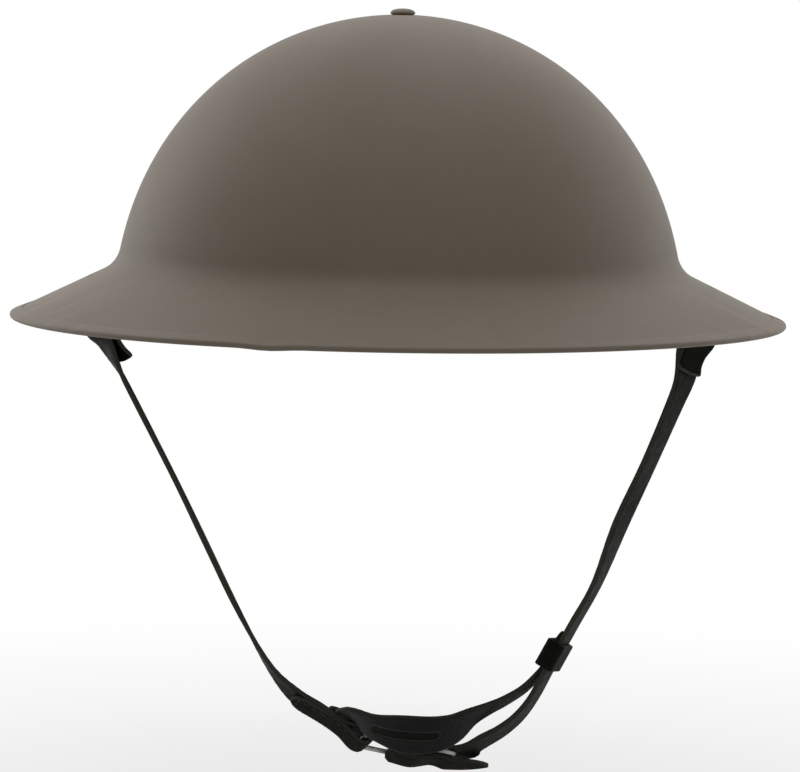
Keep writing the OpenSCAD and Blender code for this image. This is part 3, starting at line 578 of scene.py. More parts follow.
@once
def dust_group():
    """Shader group: dust that settles on what faces up."""
    t = Tree.group("Settled Dust", "Shader", {"Mask": F}, Vector=V, Scale=120.0, Amount=0.2)
    normal = t.node("ShaderNodeNewGeometry").outputs["Normal"]
    up = t.node("ShaderNodeSeparateXYZ", normal).outputs[2]
    lying = t.times(t.ramp(up, 0.0, 0.9), t.ramp(t.noise(t["Vector"], t["Scale"], 6.0), 0.35, 0.75))
    return t.give(Mask=t.times(lying, t["Amount"]))


@once
def scuff_and_highlight_group():
    """Shader group: streaks of rubbed or dirty paint towards the brim's two sides."""
    t = Tree.group(
        "Side Scuffs", "Shader", {"Mask": F}, Vector=V, Starts=0.1, Full=0.14, Scale=60.0, Shift=0.0
    )
    away = t.math("ABSOLUTE", t.sh("SeparateXYZ", t["Vector"]))
    moved = t.vector("ADD", t["Vector"], t.sh("CombineXYZ", Y=t["Shift"]))
    streaks = t.vector("MULTIPLY", moved, (0.45, 1.0, 0.45))
    mask = t.ramp(t.noise(streaks, t["Scale"], 5.0, 0.6), 0.50, 0.70)
    return t.give(Mask=t.times(t.ramp(away, t["Starts"], t["Full"]), mask))


# Materials


class Look(Tree):
    """A material being built on its Principled shader, in object coordinates."""

    def __init__(self, name, **fixed):
        self.material = bpy.data.materials.new(name)
        self.material.use_nodes = True
        super().__init__(self.material.node_tree)
        self.shader = self.tree.nodes["Principled BSDF"]
        for key, value in fixed.items():
            self.shader.inputs[key.replace("_", " ")].default_value = value
        self.place = self.node("ShaderNodeTexCoord").outputs["Object"]

    def mark(self, name):
        """A mark that the piece's own mesh carries, edge or flesh."""
        named = dict(attribute_name=name, attribute_type="GEOMETRY")
        return self.node("ShaderNodeAttribute", **named).outputs["Fac"]

    def drift(self, main, other, scale, amount, mottle):
        """A colour that drifts into another one, and the mask of its drift."""
        inputs = dict(Scale=scale, Colour=main, Drifted_Colour=other, Amount=amount, Mottle=mottle)
        return self.use(drift_group(), Vector=self.place, **inputs).values()

    def wear(self, scale, amount, scatter):
        """Broken mask along the marked edges."""
        inputs = dict(Edge=self.mark("edge"), Scale=scale, Amount=amount, Scatter=scatter)
        return self.use(wear_group(), Vector=self.place, **inputs)[0]

    def grain(self, cells, cell_depth, sand, sand_depth):
        """Height of the surface's grain."""
        inputs = dict(Cells=cells, Cell_Depth=cell_depth, Sand=sand, Sand_Depth=sand_depth)
        return self.use(grain_group(), Vector=self.place, **inputs)[0]

    def done(self, colour, rough, height, distance, strength):
        """The material, once its colour, roughness and bump are joined."""
        bump = self.sh("Bump", Height=height, Distance=distance, Strength=strength)
        for name, value in (("Base Color", colour), ("Roughness", rough), ("Normal", bump)):
            self.put(self.shader.inputs[name], value)
        return self.material


# Pale streaks, partly rubbed paint and partly a painted highlight on the brim's ends, and dirty streaks:
# inputs, colour and strength
SCUFFS_AND_BRIM_HIGHLIGHT = (
    (dict(Starts=0.098, Full=0.143, Scale=70.0, Shift=0.0), (0.300, 0.265, 0.215), 0.7),
    (dict(Starts=0.108, Full=0.146, Scale=110.0, Shift=0.37), (0.120, 0.088, 0.060), 0.55),
)


@once
def paint(name, wear):
    """Matt sanded paint over steel."""
    s = settings("shell")
    m = Look(name, Specular_IOR_Level=0.34)
    colour, drift = m.drift(s.paint, s.paint_pale, scale=16.0, amount=0.18, mottle=0.35)
    dust = m.use(dust_group(), Vector=m.place, Scale=60.0, Amount=0.10)["Mask"]
    rubbed = m.wear(scale=140.0, amount=0.55 * wear, scatter=0.22)
    gone = m.times(m.wear(scale=420.0, amount=wear, scatter=0.10), m.ramp(m.mark("edge"), 0.85, 1.0))
    colour = m.blend(dust, colour, s.paint_pale)
    # The pale streaks are rubbed paint and also a painted highlight on the brim's ends
    for inputs, tone, strength in SCUFFS_AND_BRIM_HIGHLIGHT:
        streak = m.use(scuff_and_highlight_group(), Vector=m.place, **inputs)["Mask"]
        colour = m.blend(m.times(streak, strength), colour, tone)
    colour = m.blend(gone, m.blend(rubbed, colour, s.paint_pale), s.bare_steel)
    grain = m.grain(cells=1100.0, cell_depth=0.25, sand=2400.0, sand_depth=1.0)
    rough = m.ramp(m.plus(drift, m.times(grain, 0.1)), 0.0, 0.35, 0.60, 0.52)
    return m.done(colour, m.minus(rough, m.times(rubbed, 0.12)), grain, 0.00006, 0.75)


def shell_paint():
    return paint("Helmet paint", 0.0)


def rim_paint():
    return paint("Rim paint", 0.12)


# Settings group, paler colour, cut edge's colour, roughness, grain cells to a metre, specular level
LEATHERS = {
    "strap": ("strap", (0.014, 0.0155, 0.0115), None, 0.56, 1000.0, 0.03),
    "chin": ("strap", (0.022, 0.020, 0.019), (0.060, 0.064, 0.050), 0.46, 1000.0, 0.10),
    "keeper": ("strap", (0.009, 0.0095, 0.008), (0.030, 0.032, 0.025), 0.50, 1000.0, 0.07),
    "liner": ("liner", (0.215, 0.125, 0.068), (0.30, 0.20, 0.12), 0.55, 800.0, 0.16),
    "band": ("liner", (0.130, 0.094, 0.062), (0.20, 0.15, 0.10), 0.6, 900.0, 0.16),
}


@once
def leather(kind):
    """Waxed leather with its grain, creases and paler cut edges."""
    part, pale, edge, gloss, cells, shine = LEATHERS[kind]
    s = settings(part)
    m = Look(kind.capitalize() + " leather", Specular_IOR_Level=shine)
    base, _ = m.drift(getattr(s, kind + "_leather"), pale, scale=70.0, amount=0.65, mottle=0.8)
    rubbed = m.wear(scale=380.0, amount=0.85, scatter=0.16)
    flesh = m.mark("flesh")
    colour = m.blend(rubbed, m.blend(m.times(flesh, 0.45), base, pale), edge or s.raw_edge)
    grain = m.grain(cells, cell_depth=1.0, sand=3600.0, sand_depth=0.45)
    creases = m.noise(m.place, 160.0, 6.0, 1.2)
    rough = m.ramp(creases, 0.3, 0.7, gloss - 0.08, gloss + 0.10)
    worn = m.plus(rough, m.times(m.math("MAXIMUM", rubbed, flesh), 0.22))
    return m.done(colour, worn, m.plus(grain, m.times(creases, 1.6)), 0.00012, 0.9)


# Name, settings group, dulled colour, roughness, metallic
METALS = {
    "dark_steel": ("Dark steel", "strap", (0.030, 0.024, 0.018), 0.5, 0.35),
    "buckle_steel": ("Buckle steel", "strap", (0.12, 0.118, 0.105), 0.28, 0.95),
    "brass": ("Aged brass", "liner", (0.16, 0.115, 0.055), 0.34, 0.9),
}


@once
def metal(kind):
    """Bare or blackened metal, dulled and pitted."""
    name, part, dull, rough, metallic = METALS[kind]
    m = Look(name, Specular_IOR_Level=0.3)
    colour, drift = m.drift(getattr(settings(part), kind), dull, scale=240.0, amount=0.8, mottle=1.0)
    m.put(m.shader.inputs["Metallic"], m.ramp(drift, 0.0, 0.9, metallic, metallic * 0.55))
    pits = m.grain(cells=1500.0, cell_depth=0.6, sand=4000.0, sand_depth=0.6)
    return m.done(colour, m.ramp(drift, 0.0, 0.8, rough, rough + 0.22), pits, 0.00004, 0.8)


@once
def rubber():
    """Dull black rubber, paler where it has perished."""
    m = Look("Buffer rubber", Specular_IOR_Level=0.4)
    worn = (0.052, 0.048, 0.043)
    base, drift = m.drift(settings("liner").rubber, worn, scale=180.0, amount=0.8, mottle=0.6)
    colour = m.blend(m.wear(scale=500.0, amount=0.5, scatter=0.2), base, (0.075, 0.072, 0.066))
    grain = m.grain(cells=2200.0, cell_depth=0.2, sand=2500.0, sand_depth=1.0)
    return m.done(colour, m.ramp(drift, 0.0, 0.8, 0.55, 0.72), grain, 0.00006, 0.7)


@once
def felt():
    """Pressed wool with a fibrous bump."""
    m = Look("Pad felt", Sheen_Weight=0.5, Sheen_Roughness=0.6, Specular_IOR_Level=0.2)
    colour, _ = m.drift(settings("liner").felt, (0.17, 0.145, 0.11), scale=90.0, amount=0.8, mottle=1.6)
    fibres = m.noise(m.place, 1400.0, 8.0, 3.5)
    return m.done(colour, m.ramp(fibres, 0.2, 0.8, 0.88, 0.98), fibres, 0.0005, 0.9)


# Name, settings group, other colour, ribs to a metre
YARNS = {
    "cotton": ("Cord cotton", "liner", (0.33, 0.28, 0.19), 700.0),
    "thread": ("Linen thread", "strap", (0.045, 0.045, 0.036), 1500.0),
}


@once
def yarn(kind):
    """Spun fibre: fine slanted ribs on object coordinates."""
    name, part, other, ribs_to_metre = YARNS[kind]
    m = Look(name, Sheen_Weight=0.35, Specular_IOR_Level=0.25)
    colour, _ = m.drift(getattr(settings(part), kind), other, scale=260.0, amount=0.7, mottle=1.4)
    inputs = dict(Vector=m.place, Scale=ribs_to_metre, Distortion=6.0, Detail=3.0)
    ribs = m.node("ShaderNodeTexWave", bands_direction="DIAGONAL", **inputs).outputs["Fac"]
    return m.done(colour, m.ramp(ribs, 0.0, 1.0, 0.92, 0.75), ribs, 0.00012, 0.8)


@once
def webbing():
    """Woven strip, its threads following the piece's own UV map in metres."""
    m = Look("Cradle webbing", Sheen_Weight=0.3, Specular_IOR_Level=0.25)
    along, across, _ = m.node("ShaderNodeSeparateXYZ", m.sh("UVMap", uv_map="UVMap")).outputs
    warp = m.math("SINE", m.times(across, TAU / 0.0011))
    weft = m.math("SINE", m.times(along, TAU / 0.0014))
    ribs = m.plus(m.times(m.times(warp, weft), 0.5), m.math("ABSOLUTE", warp))
    base, _ = m.drift(settings("liner").webbing, (0.16, 0.135, 0.095), scale=60.0, amount=0.6, mottle=1.2)
    shade = m.ramp(ribs, -0.4, 1.3, 0.62, 1.12)
    colour = m.blend(1.0, base, m.sh("CombineXYZ", shade, shade, shade), "MULTIPLY")
    return m.done(colour, m.ramp(ribs, -0.5, 1.5, 0.95, 0.78), ribs, 0.00025, 0.8)


# Forms shared by several pieces


class BowlForm:
    """The pressed steel's lines, in metres, with heights from the brim's lowest line."""

    def __init__(self):
        self.s = s = settings("shell")
        self.half, self.brim_half = s.bowl_width / 2, s.brim_width / 2
        self.bowl_ratio = s.bowl_length / s.bowl_width
        self.rim_half = s.steel / 2 + s.strip_play + s.strip_steel
        self.out = np.array([math.cos(s.brim_slope), -math.sin(s.brim_slope)])
        self.up = np.array([math.sin(s.brim_slope), math.cos(s.brim_slope)])
        self.edge_mid = np.array([self.brim_half - self.rim_half, self.rim_half])
        self.edge_top = self.edge_mid + self.up * s.steel / 2
        self.base = s.crown_height - s.bowl_depth
        corner = self.edge_top[1] + math.tan(s.brim_slope) * (self.edge_top[0] - self.half)
        self.blend_angle = self.angle_at(corner + s.blend_height)
        start = self.dome(self.blend_angle)
        fall = unit(self.dome(self.blend_angle - 0.0175) - start)
        gap = self.edge_top - start
        x, z = self.out
        run = (gap[1] * x - gap[0] * z) / (fall[1] * x - fall[0] * z)
        middle = start + fall * run
        self.blend_points = (start, middle, middle + self.out * run)
        self.oval = dict(
            Inner_Radius=self.half, Outer_Radius=self.brim_half,
            Inner_Ratio=self.bowl_ratio, Outer_Ratio=s.brim_length / s.brim_width,
        )

    def dome(self, a, d=0.0):
        """Point of the bowl's side line at an angle from its base, d inside its outer face."""
        rise = np.sin(a) ** (2 / self.s.fullness)
        return np.array([(self.half - d) * np.cos(a), self.base + (self.s.bowl_depth - d) * rise])

    def angle_at(self, z):
        return math.asin(((z - self.base) / self.s.bowl_depth) ** (self.s.fullness / 2))

    def outer_line(self, hole):
        """The outer face from the crown's hole to the brim's edge."""
        crown = math.acos(hole / self.half)
        a, b, c = self.blend_points
        line = [self.dome(mix(crown, self.blend_angle, i / 80)) for i in range(80)]
        line += [mix(mix(a, b, t), mix(b, c, t), t) for t in np.arange(18) / 18]
        return np.array(line + [mix(c, self.edge_top, i / 16) for i in range(17)])

    def under(self, x):
        """Height of the brim's underside at a distance from the middle."""
        slope = self.s.brim_slope
        top = self.edge_top[1] + math.tan(slope) * (self.edge_top[0] - x)
        return top - self.s.steel / math.cos(slope)


def inset_line(line, d):
    """A line moved square to itself, to its right as it runs."""
    ahead = np.vstack([line[1:], line[-1:]]) - np.vstack([line[:1], line[:-1]])
    ahead /= np.linalg.norm(ahead, axis=1)[:, None]
    return line + np.stack([ahead[:, 1], -ahead[:, 0]], 1) * d


ROUND = dict(Inner_Radius=1.0, Outer_Radius=2.0)


def swept(name, section, finish, edge=None, seat=SEAT_HEIGHT, **inputs):
    """A closed section of (radius, height) points, clockwise, turned round the upright axis."""
    points = np.array([(r, 0, z - seat) for r, z in section])
    marks = np.zeros(len(points)) if edge is None else np.asarray(edge, float)
    line = line_mesh(name, np.vstack([points, points[:1]]), edge=np.append(marks, marks[0]))
    return grown(name, line, sweep_tree(), Material=finish, **inputs)


def turned_piece(name, section, finish, slices=40):
    """A small round piece at the origin."""
    return swept(name, section, finish, seat=0, Slices=slices, **ROUND)


def round_corners(loop, radius, steps=4):
    """A closed loop with each corner turned into an arc of about that radius."""
    loop = np.asarray(loop, float)
    radius = np.broadcast_to(radius, len(loop))
    out = []
    for i, p in enumerate(loop):
        a, b = loop[i - 1], loop[(i + 1) % len(loop)]
        reach = min(radius[i], np.linalg.norm(a - p) * 0.49, np.linalg.norm(b - p) * 0.49)
        start, end = p + unit(a - p) * reach, p + unit(b - p) * reach
        out += [mix(mix(start, p, t), mix(p, end, t), t) for t in np.arange(steps + 1) / steps]
    return np.array(out)


def along_line(points):
    """Distance along a line at each of its points."""
    return np.concatenate([[0], np.cumsum(np.linalg.norm(np.diff(points, axis=0), axis=1))])


class Path:
    """A smooth line of stations, each a point and the direction of the width, as a strap runs."""

    def __init__(self, stations, step=0.5 * MM):
        points = np.array([s[0] for s in stations], float)
        wide = np.array([s[1] for s in stations], float)
        self.widths = np.array([s[2] if len(s) > 2 else 0.0 for s in stations])
        self.knots = along_line(points)
        chords = np.diff(self.knots)
        slope = np.gradient(points, self.knots, axis=0)
        self.at = at = np.linspace(0, self.knots[-1], max(int(self.knots[-1] / step), 8))
        i = np.clip(np.searchsorted(self.knots, at, side="right") - 1, 0, len(points) - 2)
        h = chords[i][:, None]
        t = ((at - self.knots[i]) / chords[i])[:, None]
        ease = t * t * (3 - 2 * t)
        ends = (1 - ease) * points[i] + ease * points[i + 1]
        self.points = ends + h * ((t**3 - 2 * t**2 + t) * slope[i] + (t**3 - t**2) * slope[i + 1])
        self.length = at[-1]
        self.ahead = np.gradient(self.points, at, axis=0)
        self.ahead /= np.linalg.norm(self.ahead, axis=1)[:, None]
        side = wide[i] + (wide[i + 1] - wide[i]) * ease
        side -= self.ahead * (side * self.ahead).sum(1)[:, None]
        self.side = side / np.linalg.norm(side, axis=1)[:, None]
        self.inward = np.cross(self.ahead, self.side)

    def take(self, values, u):
        u = np.clip(u, 0, self.length)
        return np.stack([np.interp(u, self.at, values[:, k]) for k in range(3)], -1)

    def place(self, u, v, n):
        """Points at u along, v across and n towards the inner side."""
        points = self.take(self.points, u)
        for values, d in ((self.side, v), (self.inward, n)):
            axis = self.take(values, u)
            points += axis / np.linalg.norm(axis, axis=1)[:, None] * d[:, None]
        return points

    def width_at(self, u):
        return np.interp(u, self.knots, self.widths)

    def nearest(self, point):
        return self.at[np.linalg.norm(self.points - point, axis=1).argmin()]


def even_loop(loop, step):
    """A closed outline with points at most a step apart, its own corners kept."""
    loop = np.asarray(loop, float)
    out = []
    for a, b in zip(loop, np.roll(loop, -1, axis=0)):
        count = max(1, math.ceil(np.linalg.norm(b - a) / step))
        out += [mix(a, b, k / count) for k in range(count)]
    return np.array(out)


def inset_loop(loop, d):
    """A closed outline moved inwards; it runs anticlockwise."""
    ahead = np.roll(loop, -1, axis=0) - loop
    ahead /= np.linalg.norm(ahead, axis=1)[:, None]
    left = np.stack([-ahead[:, 1], ahead[:, 0]], 1)
    both = left + np.roll(left, 1, axis=0)
    return loop + both * (2 * d / np.maximum((both**2).sum(1), 1.2))[:, None]


def inside(points, loop):
    """Which points lie inside a closed outline."""
    x, y = points[:, 0][:, None], points[:, 1][:, None]
    x0, y0 = loop[:, 0][None], loop[:, 1][None]
    x1, y1 = np.roll(loop, -1, axis=0).T[:, None]
    with np.errstate(divide="ignore", invalid="ignore"):
        where = (x1 - x0) * (y - y0) / (y1 - y0) + x0
    return (((y0 > y) != (y1 > y)) & (x < where)).sum(1) % 2 == 1


def far_from(points, loop, least):
    """Which points are at least that far from an outline."""
    a, b = loop[None], np.roll(loop, -1, axis=0)[None]
    run = b - a
    t = np.clip(((points[:, None] - a) * run).sum(-1) / np.maximum((run**2).sum(-1), 1e-18), 0, 1)
    return np.linalg.norm(points[:, None] - (a + run * t[..., None]), axis=-1).min(1) > least


# For the rows of a cut edge and the flat face: inset and rise in bevels, and the edge mark
CUT_INSETS = (0.0, 0.3, 1.0)
CUT_RISES = np.array([-1.0, -1 + 0.714, 0.0, 0.0])
CUT_MARKS = np.array([1.0, 0.75, 0.35, 0.0])


def cut_piece(
    name, outline, place, thickness, finish, holes=(), grid=1.4 * MM, bevel=0.4 * MM, relief=None
):
    """A flat pattern cut from leather or webbing, with rounded edges, laid where place(u, v, n) says."""
    loops = [even_loop(outline, grid)] + [even_loop(h, grid * 0.6) for h in holes]
    flat, edges, mark, rings = [], [], [], []
    for number, loop in enumerate(loops):
        for k, share in enumerate(CUT_INSETS):
            d = share * bevel
            ring = inset_loop(loop, d) if number == 0 else inset_loop(loop[::-1], -d)[::-1]
            first, size = len(flat), len(ring)
            flat += list(ring)
            mark += [k] * size
            edges += [(first + i, first + (i + 1) % size) for i in range(size)]
            if k == 0:
                rings.append((first, size))
    low, high = loops[0].min(0), loops[0].max(0)
    us, vs = np.meshgrid(np.arange(low[0], high[0], grid), np.arange(low[1], high[1], grid) + grid / 2)
    free = np.stack([us.ravel(), vs.ravel()], 1)
    free = free[inside(free, loops[0])]
    for loop in loops:
        free = free[far_from(free, loop, bevel + 0.4 * grid)]
    for loop in loops[1:]:
        free = free[~inside(free, loop)]
    flat += list(free)
    mark += [len(CUT_INSETS)] * len(free)
    places, _, faces, origins, *_ = delaunay_2d_cdt([Vector(p) for p in flat], edges, [], 1, 1e-9)
    points = np.array([tuple(p) for p in places])
    origin = [o[0] if o else -1 for o in origins]
    level = np.array([mark[o] if o >= 0 else 0 for o in origin])
    centres = np.array([points[list(f)].mean(0) for f in faces])
    for loop in loops[1:]:
        keep = ~inside(centres, loop)
        faces, centres = [f for f, kept in zip(faces, keep) if kept], centres[keep]
    rise = thickness / 2 + CUT_RISES[level] * bevel
    if relief:
        rise += relief(*points.T)
    over, below = (place(*points.T, n) for n in (rise, -rise))
    count = len(points)
    back = {o: i for i, o in enumerate(origin) if o >= 0}
    area = np.mean([np.cross(points[f[1]] - points[f[0]], points[f[2]] - points[f[0]]) for f in faces[:50]])
    order = 1 if area > 0 else -1
    skin = [tuple(f)[::order] for f in faces] + [tuple(i + count for i in f)[::-order] for f in faces]
    for first, size in rings:
        for i in range(size):
            a, b = back[first + i], back[first + (i + 1) % size]
            skin.append((a, b, b + count, a + count)[::-order])
    obj = mesh_object(name, np.vstack([over, below]), skin, finish)
    mesh = obj.data
    marked(mesh, edge=np.tile(CUT_MARKS[level], 2), flesh=np.repeat([1.0, 0.0], count))
    corners = np.zeros(len(mesh.loops), np.int32)
    mesh.loops.foreach_get("vertex_index", corners)
    uv = np.vstack([points, points])[corners]
    mesh.uv_layers.new(name="UVMap").data.foreach_set("uv", uv.astype(np.float32).ravel())
    return outward(obj)


def strip_outline(size, half_width):
    """Outline of a strip whose half width is a function of the distance along it."""
    near = size * (1 - np.cos(np.linspace(0, math.pi, 9))) / 2 * 0.06
    along = np.unique(np.concatenate([near, np.linspace(near[-1], size - near[-1], 60), size - near[::-1]]))
    return two_sides(along, half_width(along))


def two_sides(along, half):
    """Closed outline from half widths at distances along a strip."""
    half = np.maximum(half, 0.6 * MM)
    return np.vstack([np.stack([along, -half], 1), np.stack([along, half], 1)[::-1]])


def eased_end(along, full, reach, power=2.0):
    """Half width that grows from an end: rounded corners for a short reach, a point for a long one."""
    x = np.clip(along / reach, 0, 1)
    return full * (1 - (1 - x) ** power) ** (1 / power)


def ring_hole(middle, radius):
    """Outline of a round hole on a strip's middle line."""
    angles = np.linspace(0, TAU, 25)[:-1]
    return np.stack([middle + radius * np.cos(angles), radius * np.sin(angles)], 1)


# Shell


def kink():
    """Sweep inputs for the steel's small handling marks."""
    place, depth = (-0.0455, -0.1475, -SEAT_HEIGHT + 0.0006), settings("shell").kink_depth
    return dict(Waviness=0.00018, Kink_Place=place, Kink_Reach=0.013, Kink_Depth=depth)


def build_shell():
    form = BowlForm()
    s = form.s
    outer = form.outer_line(2.4 * MM)
    inner = inset_line(outer, s.steel)[::-1]
    turn = np.linspace(0.4, math.pi - 0.4, 5)[:, None]
    nose = form.edge_mid + s.steel / 2 * (form.up * np.cos(turn) + form.out * np.sin(turn))
    section = np.vstack([outer, nose, inner])
    rubbed = 9 * MM
    edge = np.clip((section[:, 0] - (form.brim_half - rubbed)) / rubbed, 0, 1) * 0.6
    obj = swept("painted_shell", section, shell_paint(), edge, Slices=s.slices, **form.oval, **kink())
    finished(obj, "helmet", "shell_paint", "shell")


def build_rim_strip():
    form = BowlForm()
    s = form.s
    hold, full, deep = s.steel / 2 + s.strip_play, form.rim_half, -s.strip_depth
    lip = s.strip_steel * 0.45
    thin = mix(hold, full, 0.3)
    quarter = math.pi / 2
    outer, inner = np.linspace(quarter, -quarter, 15), np.linspace(-quarter, quarter, 9)
    # Distance out from the edge's middle, height over the steel's middle, edge mark
    rows = [(deep + lip, thin, 0.3), (deep + 1.4 * MM, mix(thin, full, 0.25), 0.3)]
    rows += [(-1.2 * MM, mix(thin, full, 0.8), 0.3)]
    rows += [(full * math.cos(a), full * math.sin(a), 0.4 + 0.6 * math.cos(a) ** 6) for a in outer]
    rows += [(-1.2 * MM, -full, 0.3), (deep + lip, -full, 0.6)]
    rows += [(deep, -full + lip, 0.9), (deep, -hold, 0.9)]
    rows += [(hold * math.cos(a), hold * math.sin(a), 0.2) for a in inner]
    rows += [(deep, hold, 0.9), (deep, mix(hold, thin, 0.6), 0.9)]
    section = [form.edge_mid + form.out * along + form.up * over for along, over, _ in rows]
    split = math.asin(s.strip_split / s.brim_width)
    obj = swept(
        "folded_rim_strip", section, rim_paint(), [row[2] for row in rows],
        Slices=s.slices, Start_Angle=split, End_Angle=TAU - split, **form.oval, **kink(),
    )

    def close_ends(bm):
        bmesh.ops.holes_fill(bm, edges=[e for e in bm.edges if e.is_boundary], sides=0)

    finished(reworked(obj, close_ends), "helmet", "shell_paint", "rim_strip")


def crown_depths():
    """Depths under the crown of the two strips, and the height of the washer's upper face."""
    form, thick = BowlForm(), settings("liner").cradle_thick
    first = form.s.steel + 0.2 * MM
    second = first + thick + 0.3 * MM
    washer = form.dome(math.acos(8 * MM / form.half), second + thick + 0.4 * MM)[1]
    return form, first, second, washer


def build_crown_rivet():
    form, _, _, washer = crown_depths()
    top, low = form.s.crown_height, washer - 1 * MM
    head, rise, shank, low_edge, full = 4.7 * MM, 2.3 * MM, 2.3 * MM, 0.4 * MM, 2 / 2.25
    turn = np.linspace(0.01, math.pi / 2, 20)
    heights = top + low_edge + (rise - low_edge) * np.cos(turn) ** full
    section = list(zip(head * np.sin(turn) ** full, heights))
    section += [(head + x * MM, top + z * MM) for x, z in ((-0.12, 0.25), (-0.5, 0.1), (-0.7, -0.3))]
    section += [(shank, top - 0.3 * MM), (shank, low), (head, low), (head, low - 0.5 * MM)]
    section += [(head - 0.8 * MM, low - 1.1 * MM), (0.001 * MM, low - 1.2 * MM)]
    obj = swept("crown_rivet_turned", section, rim_paint(), Slices=64, **ROUND)
    finished(obj, "helmet", "shell_paint", "crown_rivet")
    ring = round_corners([(2.4 * MM, washer), (8 * MM, washer), (8 * MM, low), (2.4 * MM, low)], 0.25 * MM)
    plate = swept("crown_washer_turned", ring, metal("dark_steel"), Slices=64, **ROUND)
    finished(plate, "helmet", "dark_steel", "crown_washer")


# Liner


class LinerForm:
    """Plan half sizes and heights of the liner's bands."""

    def __init__(self):
        self.bowl = bowl = BowlForm()
        self.s = s = settings("liner")
        self.top = s.band_rise + s.band_height
        self.middle = s.band_rise + s.band_height / 2
        across = bowl.dome(bowl.angle_at(self.top))[0] - bowl.s.steel - s.band_play
        self.band = np.array([across, across * bowl.bowl_ratio])
        self.line = self.band - (s.band_thick + 0.2 * MM + s.buffer_width / 2)
        self.head = self.line - (s.buffer_width / 2 + 0.2 * MM)
        self.head_low = s.band_rise + (s.band_height - s.head_band_height) / 2
        self.head_top = self.head_low + s.head_band_height
        self.tongue_top = SEAT_HEIGHT + 0.3 * MM
        self.span = TAU / s.tongues

    def stand(self, half, degrees):
        """Point on an oval and the direction square out of it."""
        a = math.radians(degrees)
        out = math.atan2(half[0] * math.sin(a), half[1] * math.cos(a))
        point = np.array([half[0] * math.cos(a), half[1] * math.sin(a), self.middle])
        return point, np.array([math.cos(out), math.sin(out), 0])


def band_piece(node, kind, half, thick, low, high, waviness):
    """An upright leather ring on an oval plan."""
    inner = half - thick
    loop = [(inner[0], high), (half[0], high), (half[0], low), (inner[0], low)]
    dense = even_loop(np.array(loop), 2.5 * MM)
    corners = {tuple(np.round(c, 9)) for c in loop}
    section = round_corners(dense, [0.4 * MM if tuple(np.round(p, 9)) in corners else 1e-6 for p in dense])
    edge = np.clip(1 - np.minimum(section[:, 1] - low, high - section[:, 1]) / (0.9 * MM), 0, 1)
    obj = swept(
        node + "_leather", section, leather(kind), edge, Slices=180, Waviness=waviness,
        Inner_Radius=inner[0], Inner_Ratio=inner[1] / inner[0],
        Outer_Radius=half[0], Outer_Ratio=half[1] / half[0],
    )
    finished(obj, "helmet", kind + "_leather", node)


def build_bands():
    form = LinerForm()
    s = form.s
    band_piece("outer_band", "band", form.band, s.band_thick, s.band_rise, form.top, 0.0006)
    band_piece("head_band", "liner", form.head, s.head_band_thick, form.head_low, form.head_top, 0.0008)


def small_rivet(grip, tail):
    """A small rivet along Z, its head's seat at the origin and a tail of some radius below."""
    head = np.array([(0.0001, 1.0), (0.9, 0.93), (1.6, 0.68), (2.1, 0.3), (2.3, 0), (0.9, 0)]) * MM
    low = -grip - 0.6 * MM
    foot = [(0.9 * MM, -grip), (tail, -grip), (tail, -grip - 0.35 * MM), (tail * 0.7, low)]
    return turned_piece("rivet", [*head, *foot, (0.0001 * MM, low)], metal("brass"), 20)


def set_pieces(name, spots, piece, finish, body, slot, *nodes, seed, turn=0.0, spread=0.0):
    """A small piece set at every (point, facing, run), with some spread of turn and size."""
    places, facing, run = zip(*spots)
    mesh = marked(line_mesh(name, seated(places)), facing=facing, run=run)
    drawn = dict(Seed=seed, Turn_Spread=turn, Size_Spread=spread)
    obj = grown(name, mesh, setting_tree(), Piece=piece, Material=finish, **drawn)
    bpy.data.objects.remove(piece)
    return finished(obj, body, slot, *nodes)


def set_rivets(name, spots, grip, tail, node, seed):
    """Brass rivets of the liner."""
    rivet, drawn = small_rivet(grip, tail), dict(seed=seed, turn=3.1, spread=0.03)
    set_pieces(name, spots, rivet, metal("brass"), "helmet", "liner_brass", node, **drawn)


def build_buffers():
    form = LinerForm()
    s = form.s
    step = 360 / s.buffers
    stands = [form.stand(form.line, step * (i + 0.5)) for i in range(s.buffers)]
    half, bore, high = s.buffer_width / 2, s.buffer_bore / 2, s.buffer_height / 2
    # From a tube's upper end to its moulding line: distance inside the outer wall and under the end
    outer = [(half - x * MM, high - z * MM) for x, z in ((0.8, 0), (0.25, 0.25), (0, 0.9))]
    outer += [(half, 0.35 * MM), (half + 0.06 * MM, 0.15 * MM)]
    upper = [(bore, high - 0.2 * MM), (bore + 0.4 * MM, high)] + outer
    wall = upper + [(r, -z) for r, z in upper[::-1]] + [(bore, -high * 0.3), (bore, high * 0.3)]
    tube = turned_piece("buffer", wall, rubber(), 36)
    spots, slot = [(p, UP, out) for p, out in stands], "buffer_rubber"
    set_pieces("buffer_tubes", spots, tube, rubber(), "helmet", slot, "rubber_buffers", seed=11, turn=0.5)
    tail = bore / 2
    tail_seat = math.sqrt(bore**2 - tail**2) - 0.1 * MM
    for name, thick, sign, seed, node in (
        ("buffer_rivets_set", s.band_thick, 1, 21, "buffer_rivets"),
        ("head_band_rivets_set", s.head_band_thick, -1, 31, "head_band_rivets"),
    ):
        seat = half + 0.2 * MM + thick + 0.15 * MM
        spots = [(p + out * sign * seat, out * sign, UP) for p, out in stands]
        set_rivets(name, spots, seat - tail_seat, tail, node, seed)


def strip_points(form, along, across, depth, along_ratio, across_ratio, stop):
    """Points of a strip that hugs the bowl, at angles along it, depth inside the bowl's outer face."""
    full = form.s.fullness
    e = (across / (across_ratio * (form.half - depth))) ** 2
    reach = along_ratio * (form.half - depth) * np.cos(along) * np.sqrt(1 - e)
    rise = (1 - e) ** (1 / full) * np.abs(np.sin(along)) ** (2 / full)
    height = form.base + (form.s.bowl_depth - depth) * rise
    return np.stack([np.clip(reach, -stop, stop), across, height], 1)


